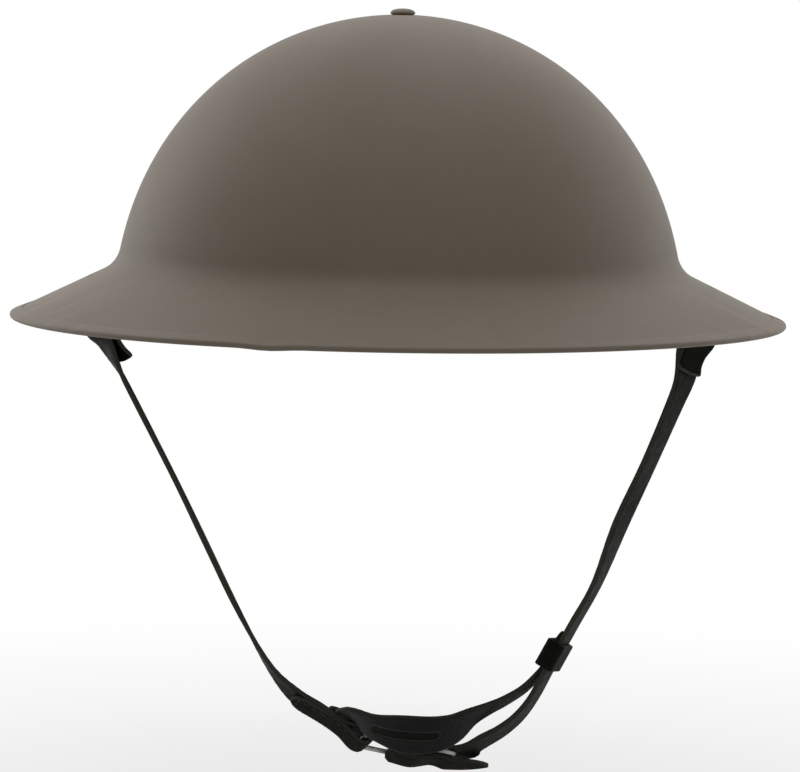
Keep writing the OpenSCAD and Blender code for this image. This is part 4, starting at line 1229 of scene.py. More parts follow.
def build_cradle():
    form, first, second, _ = crown_depths()
    liner = LinerForm()
    s = liner.s
    low = form.angle_at(s.band_rise + 7 * MM)
    angles = np.linspace(math.pi - low, low, 400)
    for way, depth, ratios, reach, turn in (
        ("sideways", first, (1.0, form.bowl_ratio), liner.band[0], False),
        ("lengthways", second, (form.bowl_ratio, 1.0), liner.band[1], True),
    ):
        stop = reach + 0.15 * MM
        at = along_line(strip_points(form, angles, np.zeros(400), depth, *ratios, stop))

        def place(u, v, n):
            along = np.interp(u, at, angles)
            inner = s.cradle_thick / 2 - n
            p = np.zeros((len(u), 3))
            for d in np.unique(inner):
                pick, end = inner == d, stop + s.cradle_thick - d
                p[pick] = strip_points(form, along[pick], v[pick], depth + d, *ratios, end)
            return seated(np.stack([-p[:, 1], p[:, 0], p[:, 2]], 1) if turn else p)

        outline = strip_outline(at[-1], lambda u: np.full(len(u), s.cradle_width / 2))
        cut = dict(holes=[ring_hole(at[-1] / 2, 2.4 * MM)], grid=2.2 * MM, bevel=0.3 * MM)
        obj = cut_piece("cradle_webbing_" + way, outline, place, s.cradle_thick, webbing(), **cut)
        finished(obj, "helmet", "webbing", "cradle_strip_" + way)
    stands = [liner.stand(liner.band, 90 * i) for i in range(4)]
    spots = [(p + out * (s.cradle_thick + 0.25 * MM), out, UP) for p, out in stands]
    grip = s.cradle_thick + s.band_thick + 0.4 * MM
    set_rivets("cradle_rivets_set", spots, grip, 1.8 * MM, "cradle_rivets", 41)


def build_tongues():
    form = LinerForm()
    s = form.s
    tip, end_half = s.string_radius - s.tongue_end / 2, s.tongue_end / 2
    slack = 0.3 * MM

    def middle(u, d):
        """Radii along X and Y and the height of a tongue's middle line, u from the band to the tip."""
        a = np.clip(u, 0, 1) * math.pi / 2
        x, y = (mix(tip, half + slack + d, np.cos(a)) for half in form.head)
        rise = np.minimum(np.sin(a) / math.sin(s.tongue_flat * math.pi / 2), 1)
        lap = np.minimum(u, 0) * 6 * MM
        return np.stack([x, y, mix(form.head_top, form.tongue_top + d, rise) + lap], -1)

    def half_width(r):
        leaf = r * math.sin(form.span / 2) - 2.5 * MM
        end = np.sqrt(np.maximum(end_half**2 - np.maximum(s.string_radius - r, 0) ** 2, 0))
        return np.minimum(leaf, end + np.maximum(r - s.string_radius, 0))

    us = np.linspace(-1, 0.985, 260)
    lines = middle(us, 0)
    at = along_line(lines[:, [0, 2]])
    along = np.linspace(0, at[-1], 70)
    outline = two_sides(along, half_width(np.interp(along, at, lines[:, 0])))
    eyelet = ring_hole(np.interp(s.string_radius, lines[::-1, 0], at[::-1]), 2.3 * MM)
    cut = dict(holes=[eyelet], grid=2 * MM, bevel=0.35 * MM)
    pieces = []
    for i in range(s.tongues):

        def place(u, v, n):
            where = np.interp(u, at, us)
            turn = form.span * (i + 0.5) + np.arcsin(np.clip(v / middle(where, 0)[:, 0], -0.9, 0.9))
            sag = 0.25 * MM * np.cos(v / (5 * MM)) * np.clip((u - 12 * MM) / (20 * MM), 0, 1)
            x, y, z = middle(where, s.tongue_thick / 2 + n + sag).T
            return seated(np.stack([x * np.cos(turn), y * np.sin(turn), z], 1))

        pieces.append(cut_piece(f"tongue_{i}", outline, place, s.tongue_thick, leather("liner"), **cut))
    finished(joined("liner_tongues_leather", pieces), "helmet", "liner_leather", "liner_tongues")


def build_drawstring():
    form = LinerForm()
    s = form.s
    r, d = s.string_radius, s.string_thick
    level = form.tongue_top + s.tongue_thick / 2
    rise = s.tongue_thick / 2 + d / 2 + 0.3 * MM
    over = level + rise
    run = math.asin(2.3 * MM / r)
    route = []
    for i in range(s.tongues):
        for f in (-0.5, -0.3, -1 / 6, -1 / 12, 0, 1 / 12, 1 / 6, 0.3):
            t = max(-1.0, min(1.0, f * form.span / run))
            a = form.span * (i + 0.5 + f)
            side = -1 if i % 2 == 0 else 1
            route.append((r * math.cos(a), r * math.sin(a), level + side * rise * t * (1.5 - 0.5 * t * t)))
    start = [(r - (15 - 5 * k) * MM, d / 2 + 0.1 * MM, over) for k in range(3)]
    line = start + [(r - 1.5 * MM, d, over)] + route[2:] + [(r - 1.5 * MM, -d, over)]
    line += [(x, -y, z) for x, y, z in start[::-1]]
    smooth = Path([(seated(p), UP) for p in line], 0.4 * MM).points
    # Three strands: a circle with three lobes
    a = np.linspace(0, TAU, 19)[:-1]
    lobe = (0.42 + 0.08 * np.cos(3 * a)) * d
    ring = np.stack([lobe * np.cos(a), lobe * np.sin(a), 0 * a], 1)
    strands = new_object("strands", line_mesh("strands", ring, True))
    turn = np.linspace(0, 3 * TAU, 90)
    wide, width = 1.55 * d, 2.2 * MM
    x = r - 15 * MM + 3 * MM + (turn / (3 * TAU) - 0.5) * width
    knot = seated(np.stack([x, wide * np.cos(turn), over + wide * np.sin(turn)], 1))
    pieces = [
        grown(name, line_mesh(name, points), cord_tree(), Strands=strands, Material=yarn("cotton"))
        for name, points in (("string", smooth), ("knot", knot))
    ]
    bpy.data.objects.remove(strands)
    finished(joined("drawstring_cord", pieces), "helmet", "cord_cotton", "drawstring")


def build_crown_pad():
    form, _, second, _ = crown_depths()
    s = settings("liner")
    top = second + s.cradle_thick + 0.3 * MM
    angles = np.linspace(math.acos(s.pad_width / 2 / form.half), math.acos(9 * MM / form.half), 26)
    over = [form.dome(a, top + 0.35 * MM) for a in angles]
    under = [form.dome(a, top + s.pad_thick - 0.5 * MM) for a in angles[::-1]]
    section = round_corners(np.array(over + under)[::-1], 1.6 * MM)
    pad = swept("felt_pad", section, felt(), Slices=96, **ROUND)
    puffed(pad, 2 * MM, 0.5 * MM)
    finished(pad, "helmet", "felt", "crown_pad")


def puffed(obj, voxel, most):
    """Swells a padded piece by cloth simulation, no point moving further than most."""
    finish = obj.data.materials[0]
    remesh = obj.modifiers.new("Voxels", "REMESH")
    remesh.mode, remesh.voxel_size = "VOXEL", voxel
    fine = evaluated_mesh(obj)
    obj.modifiers.clear()
    obj.data = fine
    cloth = obj.modifiers.new("Stuffing", "CLOTH").settings
    cloth.use_pressure = True
    cloth.uniform_pressure_force = 4.0
    cloth.effector_weights.gravity = 0
    scene = bpy.context.scene
    for number in range(1, 13):
        scene.frame_set(number)
    rest, moved = (np.array([v.co for v in mesh.vertices]) for mesh in (fine, evaluated_mesh(obj)))
    obj.modifiers.clear()
    step = moved - rest
    places = rest + step * np.minimum(1, most / np.maximum(np.linalg.norm(step, axis=1)[:, None], 1e-9))
    fine.vertices.foreach_set("co", places.astype(np.float32).ravel())
    fine.polygons.foreach_set("use_smooth", [True] * len(fine.polygons))
    fine.materials.clear()
    fine.materials.append(finish)
    fine.update()
    scene.frame_set(1)


# Chin strap


def strap_side(run, turn):
    """Direction of a strap's width, turned from the Y axis about the strap's run."""
    across = np.array([0.0, 1.0, 0.0])
    turn = math.radians(turn)
    return unit(math.cos(turn) * across + math.sin(turn) * unit(np.cross(run, across)))


def wrapped(centre, inner, outer, wide, radius, first, last, count):
    """Stations of a bend round a bar."""
    turns = np.radians(np.linspace(first, last, count + 1))
    return [(centre + radius * (math.cos(a) * inner + math.sin(a) * outer), wide) for a in turns]


def eased(points, count):
    """Smooth line through rows of numbers, count steps between each pair."""
    p = np.asarray(points, float)
    p = np.vstack([p[:1], p, p[-1:]])
    out = []
    for a, b, c, d in zip(p, p[1:], p[2:], p[3:]):
        terms = 2 * b, c - a, 2 * a - 5 * b + 4 * c - d, 3 * b - a - 3 * c + d
        out += [0.5 * sum(term * t**k for k, term in enumerate(terms)) for t in np.arange(count) / count]
    return np.array(out + [p[-1]])


def turned(rows, width):
    """Stations from rows of x, y, z, turn and perhaps width."""
    rows = [np.asarray(r, float) for r in rows]
    out = []
    for i, r in enumerate(rows):
        run = unit(rows[min(i + 1, len(rows) - 1)][:3] - rows[max(i - 1, 0)][:3])
        out.append((r[:3], strap_side(run, r[3]), r[4] if len(r) > 4 else width))
    return out


class StrapForm:
    """Where the straps, bails and buckle lie, in millimetres, heights from the brim's lowest line."""

    # Bails: drop between the middles of their wires, and the wire
    bail_drop, wire = 9, 2.2
    # Buckle: length, half its width, and the sliding bar's place along it and inwards
    frame_long, rail, slide_at, slide_in = 34.5, 10.5, 14, -1.9

    def __init__(self):
        self.s = s = settings("strap")
        self.w, self.t, self.chape = s.width / MM, s.thickness / MM, s.chape / MM
        self.lug_x = (settings("shell").bowl_width / 2 + s.lug_out) / MM
        self.tilt = -math.degrees(s.tilt)
        self.wrap = 1 + 0.1 + self.t / 2
        self.layer = self.t + 0.1
        self.hang = self.wire / 2 + 0.25 + self.t / 2
        lean = math.radians(25)
        self.left_down = np.array([math.sin(lean), 0, -math.cos(lean)])
        self.right_up = np.array([math.sin(lean), 0, math.cos(lean)])
        self.left_wide, self.left_in = self.axes(self.left_down, -32)
        self.right_wide, self.right_in = self.axes(self.right_up, -40)
        self.left_top = self.bail_top(-1, self.left_wide)
        self.right_top = self.bail_top(1, self.right_wide)
        self.left_low = self.left_top + self.left_down * self.bail_drop
        self.right_low = self.right_top - self.right_up * self.bail_drop
        self.chape_run = unit([24, 0, -15])
        self.buckle_wide, self.chape_in = self.axes(self.chape_run, self.tilt)
        lean = math.radians(9)
        flat = np.array([math.cos(lean), 0, -math.sin(lean)])
        self.buckle_run = unit(flat - self.buckle_wide * (flat @ self.buckle_wide))
        self.buckle_in = np.cross(self.buckle_run, self.buckle_wide)
        self.left_bar = np.array([-11.5, 7.5, -161])
        self.right_bar = self.in_buckle(self.frame_long, 0)
        self.slide = self.in_buckle(self.slide_at, self.slide_in)
        self.keep_low, self.keep_high = np.array([60.4, 0, -129.6]), np.array([77, 0, -98.4])
        self.keep_run = unit(self.keep_high - self.keep_low)
        self.keep_wide, self.keep_in = self.axes(self.keep_run, -15)
        self.tail_in = self.keep_in * (self.layer + 0.15)

    def axes(self, run, turn):
        """The directions of a strap's width and of its inner side."""
        wide = strap_side(run, turn)
        return wide, np.cross(run, wide)

    def bail_top(self, side, wide):
        normal = unit(np.cross([1, 0, 0], wide))
        bar = np.array([side * self.lug_x + self.s.lug_shift / MM, 0, 1.4])
        return bar + normal * self.wire * math.copysign(1, normal[2])

    def in_buckle(self, u, n):
        return self.left_bar + self.buckle_run * u + self.buckle_in * n

    def path(self, stations):
        widths = [(s[2] if len(s) > 2 else self.w) * MM for s in stations]
        return Path([(seated(np.array(s[0]) * MM), s[1], width) for s, width in zip(stations, widths)])

    def left(self):
        down, near, wide = self.left_down, self.left_in, self.left_wide
        leave = self.left_low - near * self.layer / 2 + down * 7
        meet = leave + near * self.layer
        half_layer = self.chape_in * self.layer / 2
        start, back = self.left_bar + half_layer - self.chape_run * self.chape, self.left_bar - half_layer
        top, end = leave + down * 6, start - self.chape_run * 2
        # Share of the way down, distance to the right of a straight line, turn
        bows = [[0.03, 0.3, -7], [0.08, 0.2, -3], [0.35, -0.6, -3]]
        bows += [[0.55, -1.9, -2], [0.75, -3.2, -3], [0.92, -2.6, -10]]
        arm = [[*leave, -20]] + [[*(mix(top, end, t) + [x, 0, 0]), turn] for t, x, turn in bows]
        arm += [[*start, self.tilt], [*(start + self.chape_run * 8), self.tilt]]
        stations = [(meet + down * d + near * off, wide) for d, off in ((7.8, 3.0), (4.6, 1.1), (0, 0))]
        stations += wrapped(self.left_low, near, -down, wide, self.hang, 0, 180, 12)
        stations += turned(eased(arm, 4), self.w)
        wide, bend = self.buckle_wide, self.wrap + 0.6
        stations += [(start + self.chape_run * (self.chape - 8), wide)]
        stations += wrapped(self.left_bar, self.chape_in, self.chape_run, wide, bend, 10, 170, 12)
        stations += [(back - self.chape_run * d, wide) for d in (8, self.chape)]
        return self.path(stations)

    def right(self):
        tilt, wrap, wide = self.tilt, self.wrap, self.buckle_wide
        low = self.slide_in - wrap
        tip = [[50.4, 0.5], [44, -0.6], [38.5, -1.5], [34.5, -wrap - 0.2], [31.5, -1.6], [28.5, -1.7]]
        tip += [[25, -3], [21, low - 0.3], [15, low]]
        over = [[21, -0.1 * wrap + 0.5], [28, 1.6], [34.5, wrap + 0.5]]
        near, up = -self.right_in, self.right_up
        leave = self.right_low - near * self.layer / 2 - up * 7
        meet = leave + near * self.layer
        rows = [[*self.in_buckle(*p), tilt] for p in over]
        rows += [[29.4, 6.6, -163.8, tilt], [35.6, 5.4, -160, tilt]]
        rows += [[42.4, 4, -155.6, -21], [48.5, 2.6, -150, -18], [53.9, 1.3, -142.4, -15]]
        low, high = self.keep_low, self.keep_high
        rows += [[*p, -15] for p in (low - self.keep_run * 3.5, low, mix(low, high, 0.5), high)]
        rows += [[85.6, 0, -75.6, -23], [95.4, 0, -53.4, -22]]
        rows += [[104.6, -0.2, -31, -25], [108.4, -0.2, -20.8, -30], [*leave, -38]]
        stations = [(self.in_buckle(*p), wide) for p in eased(tip, 3)]
        stations += wrapped(self.slide, -self.buckle_in, -self.buckle_run, wide, wrap, 22.5, 157.5, 10)
        stations += [(self.in_buckle(self.slide_at, wrap + self.slide_in), wide)]
        stations += turned(eased(rows, 4), self.w)
        wide = self.right_wide
        stations += wrapped(self.right_low, near, up, wide, self.hang, 180, 0, 12)
        stations += [(meet - up * d + near * off, wide) for d, off in ((0, 0), (4.4, 0.9), (6.6, 3.0))]
        return self.path(stations)

    def chin(self):
        base = self.left_bar + self.chape_in * (1.5 * self.layer + 0.4) - self.buckle_wide * 3.4
        rows = [[*(base - self.chape_run * d), self.tilt, 10] for d in (17, 11)]
        rows += [[-14.2, -3.6, -150.7, -28, 10.4], [-6.6, -9.9, -153.5, -50, 12.6]]
        rows += [[3.4, -13.4, -155.2, -60, 17], [14.6, -13.8, -155.4, -60, 17], [23, -12, -153.4, -52, 14.6]]
        rows += [[30.4, -9, -149, -38, 11], [36.8, -6.8, -146, -28, 10], [43.1, -4.8, -143.1, -22, 10]]
        rows += [[50.4, -2.3, -138.6, -18, 10]]
        rows += [[*(self.keep_low + self.tail_in + self.keep_run * d), -15, 10] for d in (-3.5, 2, 13)]
        return self.path(turned(eased(rows, 4), self.w))


def stitch_piece(s):
    """One stitch along X, sunk a little into what it lies on."""
    half, thick = s.stitch_length / 2, 0.32 * MM
    rings, sides = 9, 8
    points = []
    for x in np.linspace(-1, 1, rings):
        r, sunk = thick * math.sqrt(max(1 - x**4, 0.02)), (0.25 * abs(x) ** 3 - 0.05) * MM
        for a in np.linspace(0, TAU, sides + 1)[:-1]:
            points.append((x * half, r * math.cos(a), r * math.sin(a) * 0.8 - sunk))
    last = (rings - 1) * sides
    faces = tube_faces(rings, sides) + [tuple(range(sides))[::-1], tuple(range(last, last + sides))]
    return outward(mesh_object("stitch", points, faces))


def tube_faces(rings, sides):
    """Faces between rings of points."""
    spots = [(i * sides, k, (k + 1) % sides) for i in range(rings - 1) for k in range(sides)]
    return [(i + a, i + b, i + b + sides, i + a + sides) for i, a, b in spots]


def stitch_row(path, us, vs, n, pitch, along=True):
    """Spots for a row of stitches along or across a strap, on its face at n."""
    first, last = us if along else vs
    count = max(1 if along else 2, round(abs(last - first) / pitch))
    u, v = (np.linspace(*d, count) for d in (us, vs))
    facing = path.take(path.inward, u) * (1 if n > 0 else -1)
    places = path.place(u, v, np.full(count, n)) + [0, 0, SEAT_HEIGHT]
    return list(zip(places, facing, path.take(path.ahead if along else path.side, u)))


def build_straps():
    form = StrapForm()
    s = form.s
    half, face, pitch = s.width / 2, s.thickness / 2, s.stitch_pitch
    left, right = form.left(), form.right()
    size, reach = left.length, right.length
    for side, path, ends in (
        ("left", left, ((1.2 * MM, 2.0), (6 * MM, 2.0))),
        ("right", right, ((11 * MM, 1.5), (1.2 * MM, 2.0))),
    ):

        def half_width(u):
            first, last = ends
            return np.minimum(eased_end(u, half, *first), eased_end(path.length - u, half, *last))

        outline = strip_outline(path.length, half_width)
        obj = cut_piece(side + "_strap_leather", outline, path.place, s.thickness, leather("strap"))
        finished(obj, "chin_strap", "strap_leather", side + "_strap")
    inset = half - 2 * MM
    end = inset * 0.75
    back = 2 * left.nearest(seated(np.array(form.left_bar) * MM)) - size
    spots = []
    for v in (-inset, inset):
        spots += stitch_row(left, (size - 24 * MM, size - 5.5 * MM), (v, v), face, pitch)
    spots += stitch_row(left, (size - 2.6 * MM,) * 2, (-end, end), face, pitch, False)
    for v in (-inset, inset):
        spots += stitch_row(left, (back + 6 * MM, back + 24 * MM), (v, v), face, pitch)
    for path, near in ((left, 3.2 * MM), (right, reach - 3.2 * MM)):
        spots += stitch_row(path, (near, near), (-inset, inset), -face, pitch, False)
    set_pieces(
        "strap_stitches", spots, stitch_piece(s), yarn("thread"), "chin_strap", "cord_cotton",
        seed=51, turn=0.12, spread=0.12,
    )


def build_chin_piece():
    form = StrapForm()
    s = form.s
    path = form.chin()
    size = path.length

    def half_width(u):
        ends = np.minimum(eased_end(u, 1.0, 4 * MM), eased_end(size - u, 1.0, 5 * MM))
        return path.width_at(u) / 2 * ends

    centre = path.nearest(seated(np.array([5, -13.6, -155.3]) * MM))
    long, radius = 11.2 * MM, 1.8 * MM
    arc = np.linspace(-math.pi / 2, math.pi / 2, 13)
    x, y = long + radius * np.cos(arc), radius * np.sin(arc)
    slot = np.vstack([np.stack([centre + x, y], 1), np.stack([centre - x, -y], 1)])

    def relief(u, v):
        """A raised lip round the slot."""
        away = np.hypot(np.clip(np.abs(u - centre) - long, 0, None), v) - radius
        return 0.45 * MM * np.exp(-((away / (1.0 * MM)) ** 2)) * (away > -0.01 * MM)

    outline, grid = strip_outline(size, half_width), 1.1 * MM
    cut = dict(holes=[slot], grid=grid, relief=relief)
    obj = cut_piece("chin_piece_leather", outline, path.place, s.thickness, leather("chin"), **cut)
    # Painted shadow: a thin sheet of the darkest leather behind the slot, so that the slot shows dark rather
    # than the floor beyond
    shadow_sheet_thick = 0.5 * MM
    back = np.stack([centre + (slot[:, 0] - centre) * 1.12, slot[:, 1] * 1.7], 1)

    def behind(u, v, n):
        return path.place(u, v, n - (s.thickness - shadow_sheet_thick) / 2 + 0.06 * MM)

    cut = dict(grid=grid, bevel=0.1 * MM)
    shadow_sheet = cut_piece("slot_lining", back, behind, shadow_sheet_thick, leather("keeper"), **cut)
    finished(joined("chin_piece_leather", [obj, shadow_sheet]), "chin_strap", "chin_leather", "chin_piece")


def box_corners(x, y):
    return [(-x, -y), (x, -y), (x, y), (-x, y)]


def build_keeper():
    form = StrapForm()
    wall, play, half = 1.6, 0.6, 5.5
    wide = (form.w + play) / 2 + wall / 2
    deep = (np.linalg.norm(form.tail_in) + form.t + play) / 2 + wall / 2
    centre = form.keep_low + form.tail_in / 2 - form.keep_run * 2
    loop = even_loop(round_corners(box_corners(wide, deep), 1.4, 8), 0.8)
    loop = np.roll(loop, len(loop) // 3, axis=0)
    middle = centre + form.keep_run * half
    ring = [middle + form.keep_wide * x + form.keep_in * y for x, y in np.vstack([loop, loop[:1]])]
    path = Path([(seated(p * MM), form.keep_run) for p in ring], 0.4 * MM)
    outline = strip_outline(path.length, lambda u: np.full(len(u), half * MM))
    cut = dict(grid=1.1 * MM, bevel=0.45 * MM)
    obj = cut_piece("keeper_leather", outline, path.place, wall * MM, leather("keeper"), **cut)
    finished(obj, "keeper", "strap_leather", "strap_keeper")


def wire_loop(name, centre, x_axis, y_axis, x, y, d, kind):
    """A closed ring of bent wire in the plane of two axes, x and y between the middles of the wire."""
    points = [centre + x_axis * a + y_axis * b for a, b in box_corners(x / 2, y / 2)]
    mesh = line_mesh(name, seated(np.array(points) * MM), True)
    sizes = dict(Wire_Radius=d / 2 * MM, Corner_Radius=0.9 * d * MM)
    return grown(name, mesh, wire_tree(), Material=metal(kind), **sizes)


def build_bails():
    form = StrapForm()
    wide, drop, wire = form.w + 4, form.bail_drop, form.wire
    for side, top, low, axis in (
        ("left", form.left_top, form.left_low, form.left_wide),
        ("right", form.right_top, form.right_low, form.right_wide),
    ):
        middle, down = mix(top, low, 0.5), unit(low - top)
        obj = wire_loop(side + "_bail_wire", middle, axis, down, wide, drop, wire, "dark_steel")
        finished(obj, "chin_strap", "dark_steel", side + "_bail")


def build_buckle():
    form = StrapForm()
    kind, run, wide, rail = "buckle_steel", form.buckle_run, form.buckle_wide, form.rail
    middle = mix(form.left_bar, form.right_bar, 0.5)
    frame_wire = wire_loop("buckle_frame_wire", middle, run, wide, form.frame_long, 2 * rail, 2, kind)
    finished(frame_wire, "chin_strap", kind, "buckle_frame")
    ends = seated(np.array([form.slide - wide * rail, form.slide + wide * rail]) * MM)
    bar = line_mesh("slide", ends)
    pieces = [grown("slide", bar, wire_tree(), Wire_Radius=1 * MM, Corner_Radius=0.0, Material=metal(kind))]
    section = round_corners(np.array([(1.1, 1.5), (2, 1.5), (2, -1.5), (1.1, -1.5)]) * MM, 0.3 * MM)
    for side in (-1, 1):
        eye = turned_piece(f"eye_{side}", section, metal(kind), 32)
        place = seated((form.in_buckle(form.slide_at, 0) + wide * side * rail) * MM)
        turn = np.column_stack([wide, form.buckle_in, run, place])
        turn = Matrix(np.vstack([turn, [0, 0, 0, 1]]).tolist())
        if turn.determinant() < 0:
            turn = turn @ Matrix.Scale(-1, 4, (1, 0, 0))
            eye.data.transform(turn)
            eye.data.flip_normals()
        else:
            eye.data.transform(turn)
        pieces.append(eye)
    finished(joined("buckle_slide_bar_turned", pieces), "chin_strap", kind, "buckle_slide_bar")


# Inset of a lug plate's outline at depths under its top
LUG_ROWS = np.array([(0.25, 0.0), (0.05, 0.12), (0.0, 0.3), (0.0, 0.9), (0.05, 1.08), (0.25, 1.2)])


def build_lugs():
    bowl, strap = BowlForm(), settings("strap")
    slope, steel = bowl.s.brim_slope, bowl.s.steel
    lug_x, shift = bowl.half + strap.lug_out, strap.lug_shift
    half, wire, plate = 10.6 * MM, 1 * MM, 1.2 * MM
    long, deep = half / math.cos(slope) + wire, 6.5 * MM
    flat = round_corners(box_corners(long, deep), 2.5 * MM, 6)
    count, rows = len(flat), len(LUG_ROWS)
    ends = [tuple(range(count)), tuple(range((rows - 1) * count, rows * count))[::-1]]
    faces = ends + [(a, d, c, b) for a, b, c, d in tube_faces(rows, count)]
    for side, word in ((-1, "left"), (1, "right")):
        out = np.array([side * math.cos(slope), 0, -math.sin(slope)])
        up = np.array([side * math.sin(slope), 0, math.cos(slope)])
        fall = side * shift * math.tan(slope)
        middle = np.array([side * lug_x + shift, 0, bowl.under(lug_x) - 0.2 * MM - fall])
        points = [
            middle + out * x + [0, y, 0] - up * depth
            for inset, depth in LUG_ROWS * MM
            for x, y in inset_loop(flat, inset)
        ]
        body = outward(mesh_object("plate", seated(points), faces, metal("dark_steel")))
        body.data.set_sharp_from_angle(angle=math.radians(50))
        near, far = lug_x - half, lug_x + half
        line = []
        for x, high in ((near, True), (near, False), (far, False), (far, True)):
            top = bowl.under(x) - 0.2 * MM - plate / 2 / math.cos(slope)
            line.append((side * x + shift, 0, top - fall if high else 1.4 * MM))
        sizes = dict(Wire_Radius=wire, Corner_Radius=1.1 * MM, Material=metal("dark_steel"))
        bar = grown("bar", line_mesh("bar", seated(line)), wire_tree(), **sizes)
        finished(joined(word + "_lug_steel", [body, bar]), "helmet", "dark_steel", word + "_lug")
    low = -0.3 * MM - plate - 0.8 * MM
    tail = np.array([(1.5, 0.8), (1.9, 0.8), (2.2, 0.45), (2.0, 0.15), (1.4, 0), (0.0001, 0)]) * MM
    section = [(0.0001 * MM, steel), (1.5 * MM, steel), *(tail + [0, low])]
    spots = []
    for side in (-1, 1):
        up = np.array([side * math.sin(slope), 0, math.cos(slope)])
        x, seat = side * lug_x + shift, bowl.under(lug_x + side * shift)
        spots += [(np.array([x, y, seat]), up, [0, 1.0, 0]) for y in (-4.2 * MM, 4.2 * MM)]
    rivet = turned_piece("rivet", section, metal("dark_steel"), 24)
    set_pieces("lug_rivets_set", spots, rivet, rim_paint(), "helmet", "shell_paint", "lug_rivets", seed=61)


# Stage


def aimed(name, data, place, aim, roll=0.0):
    """A lamp or camera at a place, turned to look at another one."""
    obj = new_object(name, data)
    obj.location = place
    obj.rotation_mode = "QUATERNION"
    turn = Matrix.Rotation(math.radians(roll), 4, "Z").to_quaternion()
    obj.rotation_quaternion = (Vector(aim) - Vector(place)).to_track_quat("-Z", "Y") @ turn
    return obj


def seen_directly(t):
    """One for rays that show the background itself: the eye's, and those in metal or glass."""
    path = t.node("ShaderNodeLightPath").outputs
    either = t.math("MAXIMUM", path["Is Camera Ray"], path["Is Glossy Ray"])
    return t.math("MAXIMUM", either, path["Is Transmission Ray"])


def floor_material(s):
    """Pale floor, clear from below, that keeps shadows near the helmet and fades to white further off."""
    m = Look("Floor", Roughness=0.9, Specular_IOR_Level=0.1)
    x, y, _ = m.node("ShaderNodeSeparateXYZ", m.place).outputs
    away = m.vector("LENGTH", m.sh("CombineXYZ", x, y))
    tone = m.ramp(m.noise(m.place, 60.0, 3.0), 0.3, 0.7, 0.98, 1.0)
    m.put(m.shader.inputs["Base Color"], m.blend(tone, (0.80, 0.80, 0.79), s.floor))
    seen = m.times(m.ramp(away, 0.10, 0.55, 0.76, 1.0, "SMOOTHSTEP"), seen_directly(m))
    both = m.sh("MixShader", seen, m.shader.outputs[0], m.sh("Emission", (1, 1, 1, 1), 1.0))
    below = m.node("ShaderNodeNewGeometry").outputs["Backfacing"]
    one_sided = m.sh("MixShader", below, both, m.sh("BsdfTransparent"))
    m.put(m.tree.nodes["Material Output"].inputs["Surface"], one_sided)
    return m.material


def build_camera(s):
    scene = bpy.context.scene
    pixel = s.view_width / PICTURE_WIDTH
    right, down, roll = 3.07 * pixel, 65.4 * pixel, 0.917
    eye = Vector((0, -s.eye_distance, -SEAT_HEIGHT + s.eye_height))
    aim = Vector((right, 0, -SEAT_HEIGHT - down))
    camera = bpy.data.cameras.new("Camera")
    camera.lens = camera.sensor_width * (aim - eye).length / s.view_width
    camera.clip_start, camera.clip_end = 0.05, 50
    scene.camera = aimed("Camera", camera, eye, aim, roll)


def build_floor(s):
    """A floor just under the strap that bends up into a backdrop."""
    lowest = ("buckle_frame", "right_strap", "left_strap", "chin_piece")
    low = min(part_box(node)[0][2] for node in lowest) - 10 * MM
    wide, deep, high, bend = 3.0, 3.2, 2.4, 0.8
    turns = np.linspace(0.15, math.pi / 2, 10)
    curve = [(deep + math.sin(a) * bend, bend - bend * math.cos(a)) for a in turns]
    rows = [(-wide, 0.0), (deep, 0.0), *curve, (deep + bend, high)]
    points = [(x, y, low + z) for y, z in rows for x in (-wide * 1.4, wide * 1.4)]
    faces = [(2 * i, 2 * i + 1, 2 * i + 3, 2 * i + 2) for i in range(len(rows) - 1)]
    mesh_object("floor", points, faces, floor_material(s))


# Place and size of each lamp
LAMPS = {
    "top": ((0, -0.1, 1.5), (1.6, 1.2)),
    "back": ((0, 1.0, 1.2), (1.6, 1.2)),
    "left": ((-1.3, 0.9, 0.35), (1.1, 1.5)),
    "right": ((1.3, 0.9, 0.35), (1.1, 1.5)),
}


def build_stage():
    scene, s = bpy.context.scene, settings("stage")
    build_camera(s)
    build_floor(s)
    for side, (place, size) in LAMPS.items():
        lamp = bpy.data.lights.new(side.capitalize() + " lamp", "AREA")
        lamp.shape = "RECTANGLE"
        lamp.size, lamp.size_y = size
        lamp.energy = getattr(s, side + "_light")
        aimed(lamp.name, lamp, place, (0, 0, -0.08))
    scene.world = bpy.data.worlds.new("Studio")
    scene.world.use_nodes = True
    t = Tree(scene.world.node_tree)
    back = t.tree.nodes["Background"].inputs
    t.put(back["Color"], (1, 1, 1, 1))
    t.put(back["Strength"], t.ramp(seen_directly(t), 0.0, 1.0, s.ambient, 1.0))
    scene.view_settings.view_transform = "Standard"


# Operators, panel and registration


def operator(name, about, build):
    """An operator class that runs one builder, which raises when it can't finish."""

    def execute(self, context):
        build()
        return {"FINISHED"}

    key = name.lower().replace(" ", "_")
    body = {"bl_idname": "helmet." + key, "bl_label": name, "__doc__": about, "execute": execute}
    return type("HELMET_OT_" + key, (bpy.types.Operator,), {**body, "bl_options": {"REGISTER", "UNDO"}})


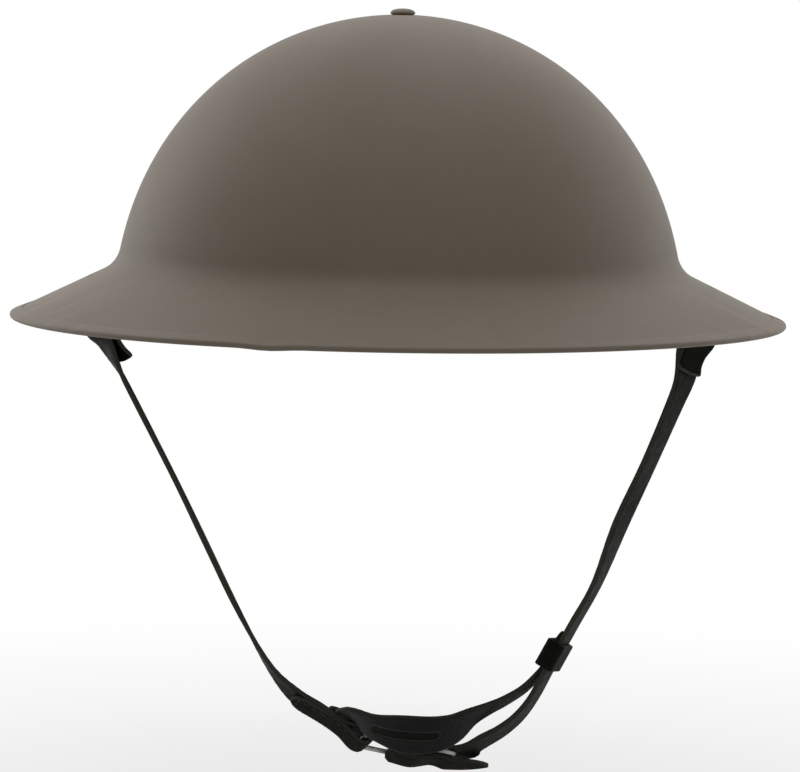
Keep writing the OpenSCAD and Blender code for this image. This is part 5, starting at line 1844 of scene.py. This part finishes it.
OPERATORS = [
    operator("Stage", "Camera, floor, backdrop and lamps", build_stage),
    operator("Shell", "Pressed and painted bowl and brim", build_shell),
    operator("Rim Strip", "Folded strip round the brim's edge", build_rim_strip),
    operator("Crown Rivet", "Rivet through the crown and its washer", build_crown_rivet),
    operator("Cradle", "Crossed webbing strips with their rivets", build_cradle),
    operator("Bands", "Outer band and head band", build_bands),
    operator("Buffers", "Rubber buffers and the rivets on both sides", build_buffers),
    operator("Tongues", "Leather tongues of the liner", build_tongues),
    operator("Drawstring", "Cord that gathers the tongues", build_drawstring),
    operator("Crown Pad", "Felt pad under the crown", build_crown_pad),
    operator("Lugs", "Riveted lugs that carry the bails", build_lugs),
    operator("Bails", "Wire bails between lugs and straps", build_bails),
    operator("Straps", "Left and right strap with their stitches", build_straps),
    operator("Chin Piece", "Slotted leather under the chin", build_chin_piece),
    operator("Keeper", "Loop that holds the strap and the chin piece together", build_keeper),
    operator("Buckle", "Wire buckle with its sliding bar", build_buckle),
]
SETTINGS = {
    "helmet_shell": ShellSettings,
    "helmet_liner": LinerSettings,
    "helmet_strap": StrapSettings,
    "helmet_stage": StageSettings,
}


class HELMET_PT_panel(bpy.types.Panel):
    """Lists the helmet's builders and settings."""

    bl_label = "Steel Helmet"
    bl_idname = "HELMET_PT_panel"
    bl_space_type = "VIEW_3D"
    bl_region_type = "UI"
    bl_category = "Helmet"

    def draw(self, context):
        column = self.layout.column(align=True)
        for made in OPERATORS:
            column.operator(made.bl_idname)
        for name in SETTINGS:
            group = getattr(context.scene, name)
            box = self.layout.box()
            for key in group.bl_rna.properties.keys():
                if key not in ("rna_type", "name"):
                    box.prop(group, key)


def register():
    for cls in (*SETTINGS.values(), *OPERATORS, HELMET_PT_panel):
        bpy.utils.register_class(cls)
    for name, cls in SETTINGS.items():
        setattr(bpy.types.Scene, name, PointerProperty(type=cls))


def unregister():
    for name in SETTINGS:
        delattr(bpy.types.Scene, name)
    for cls in (HELMET_PT_panel, *reversed(OPERATORS), *SETTINGS.values()):
        bpy.utils.unregister_class(cls)


def main():
    register()
    for made in OPERATORS:
        group, call = made.bl_idname.split(".")
        getattr(getattr(bpy.ops, group), call)()
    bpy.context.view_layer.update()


if __name__ == "__main__":
    main()
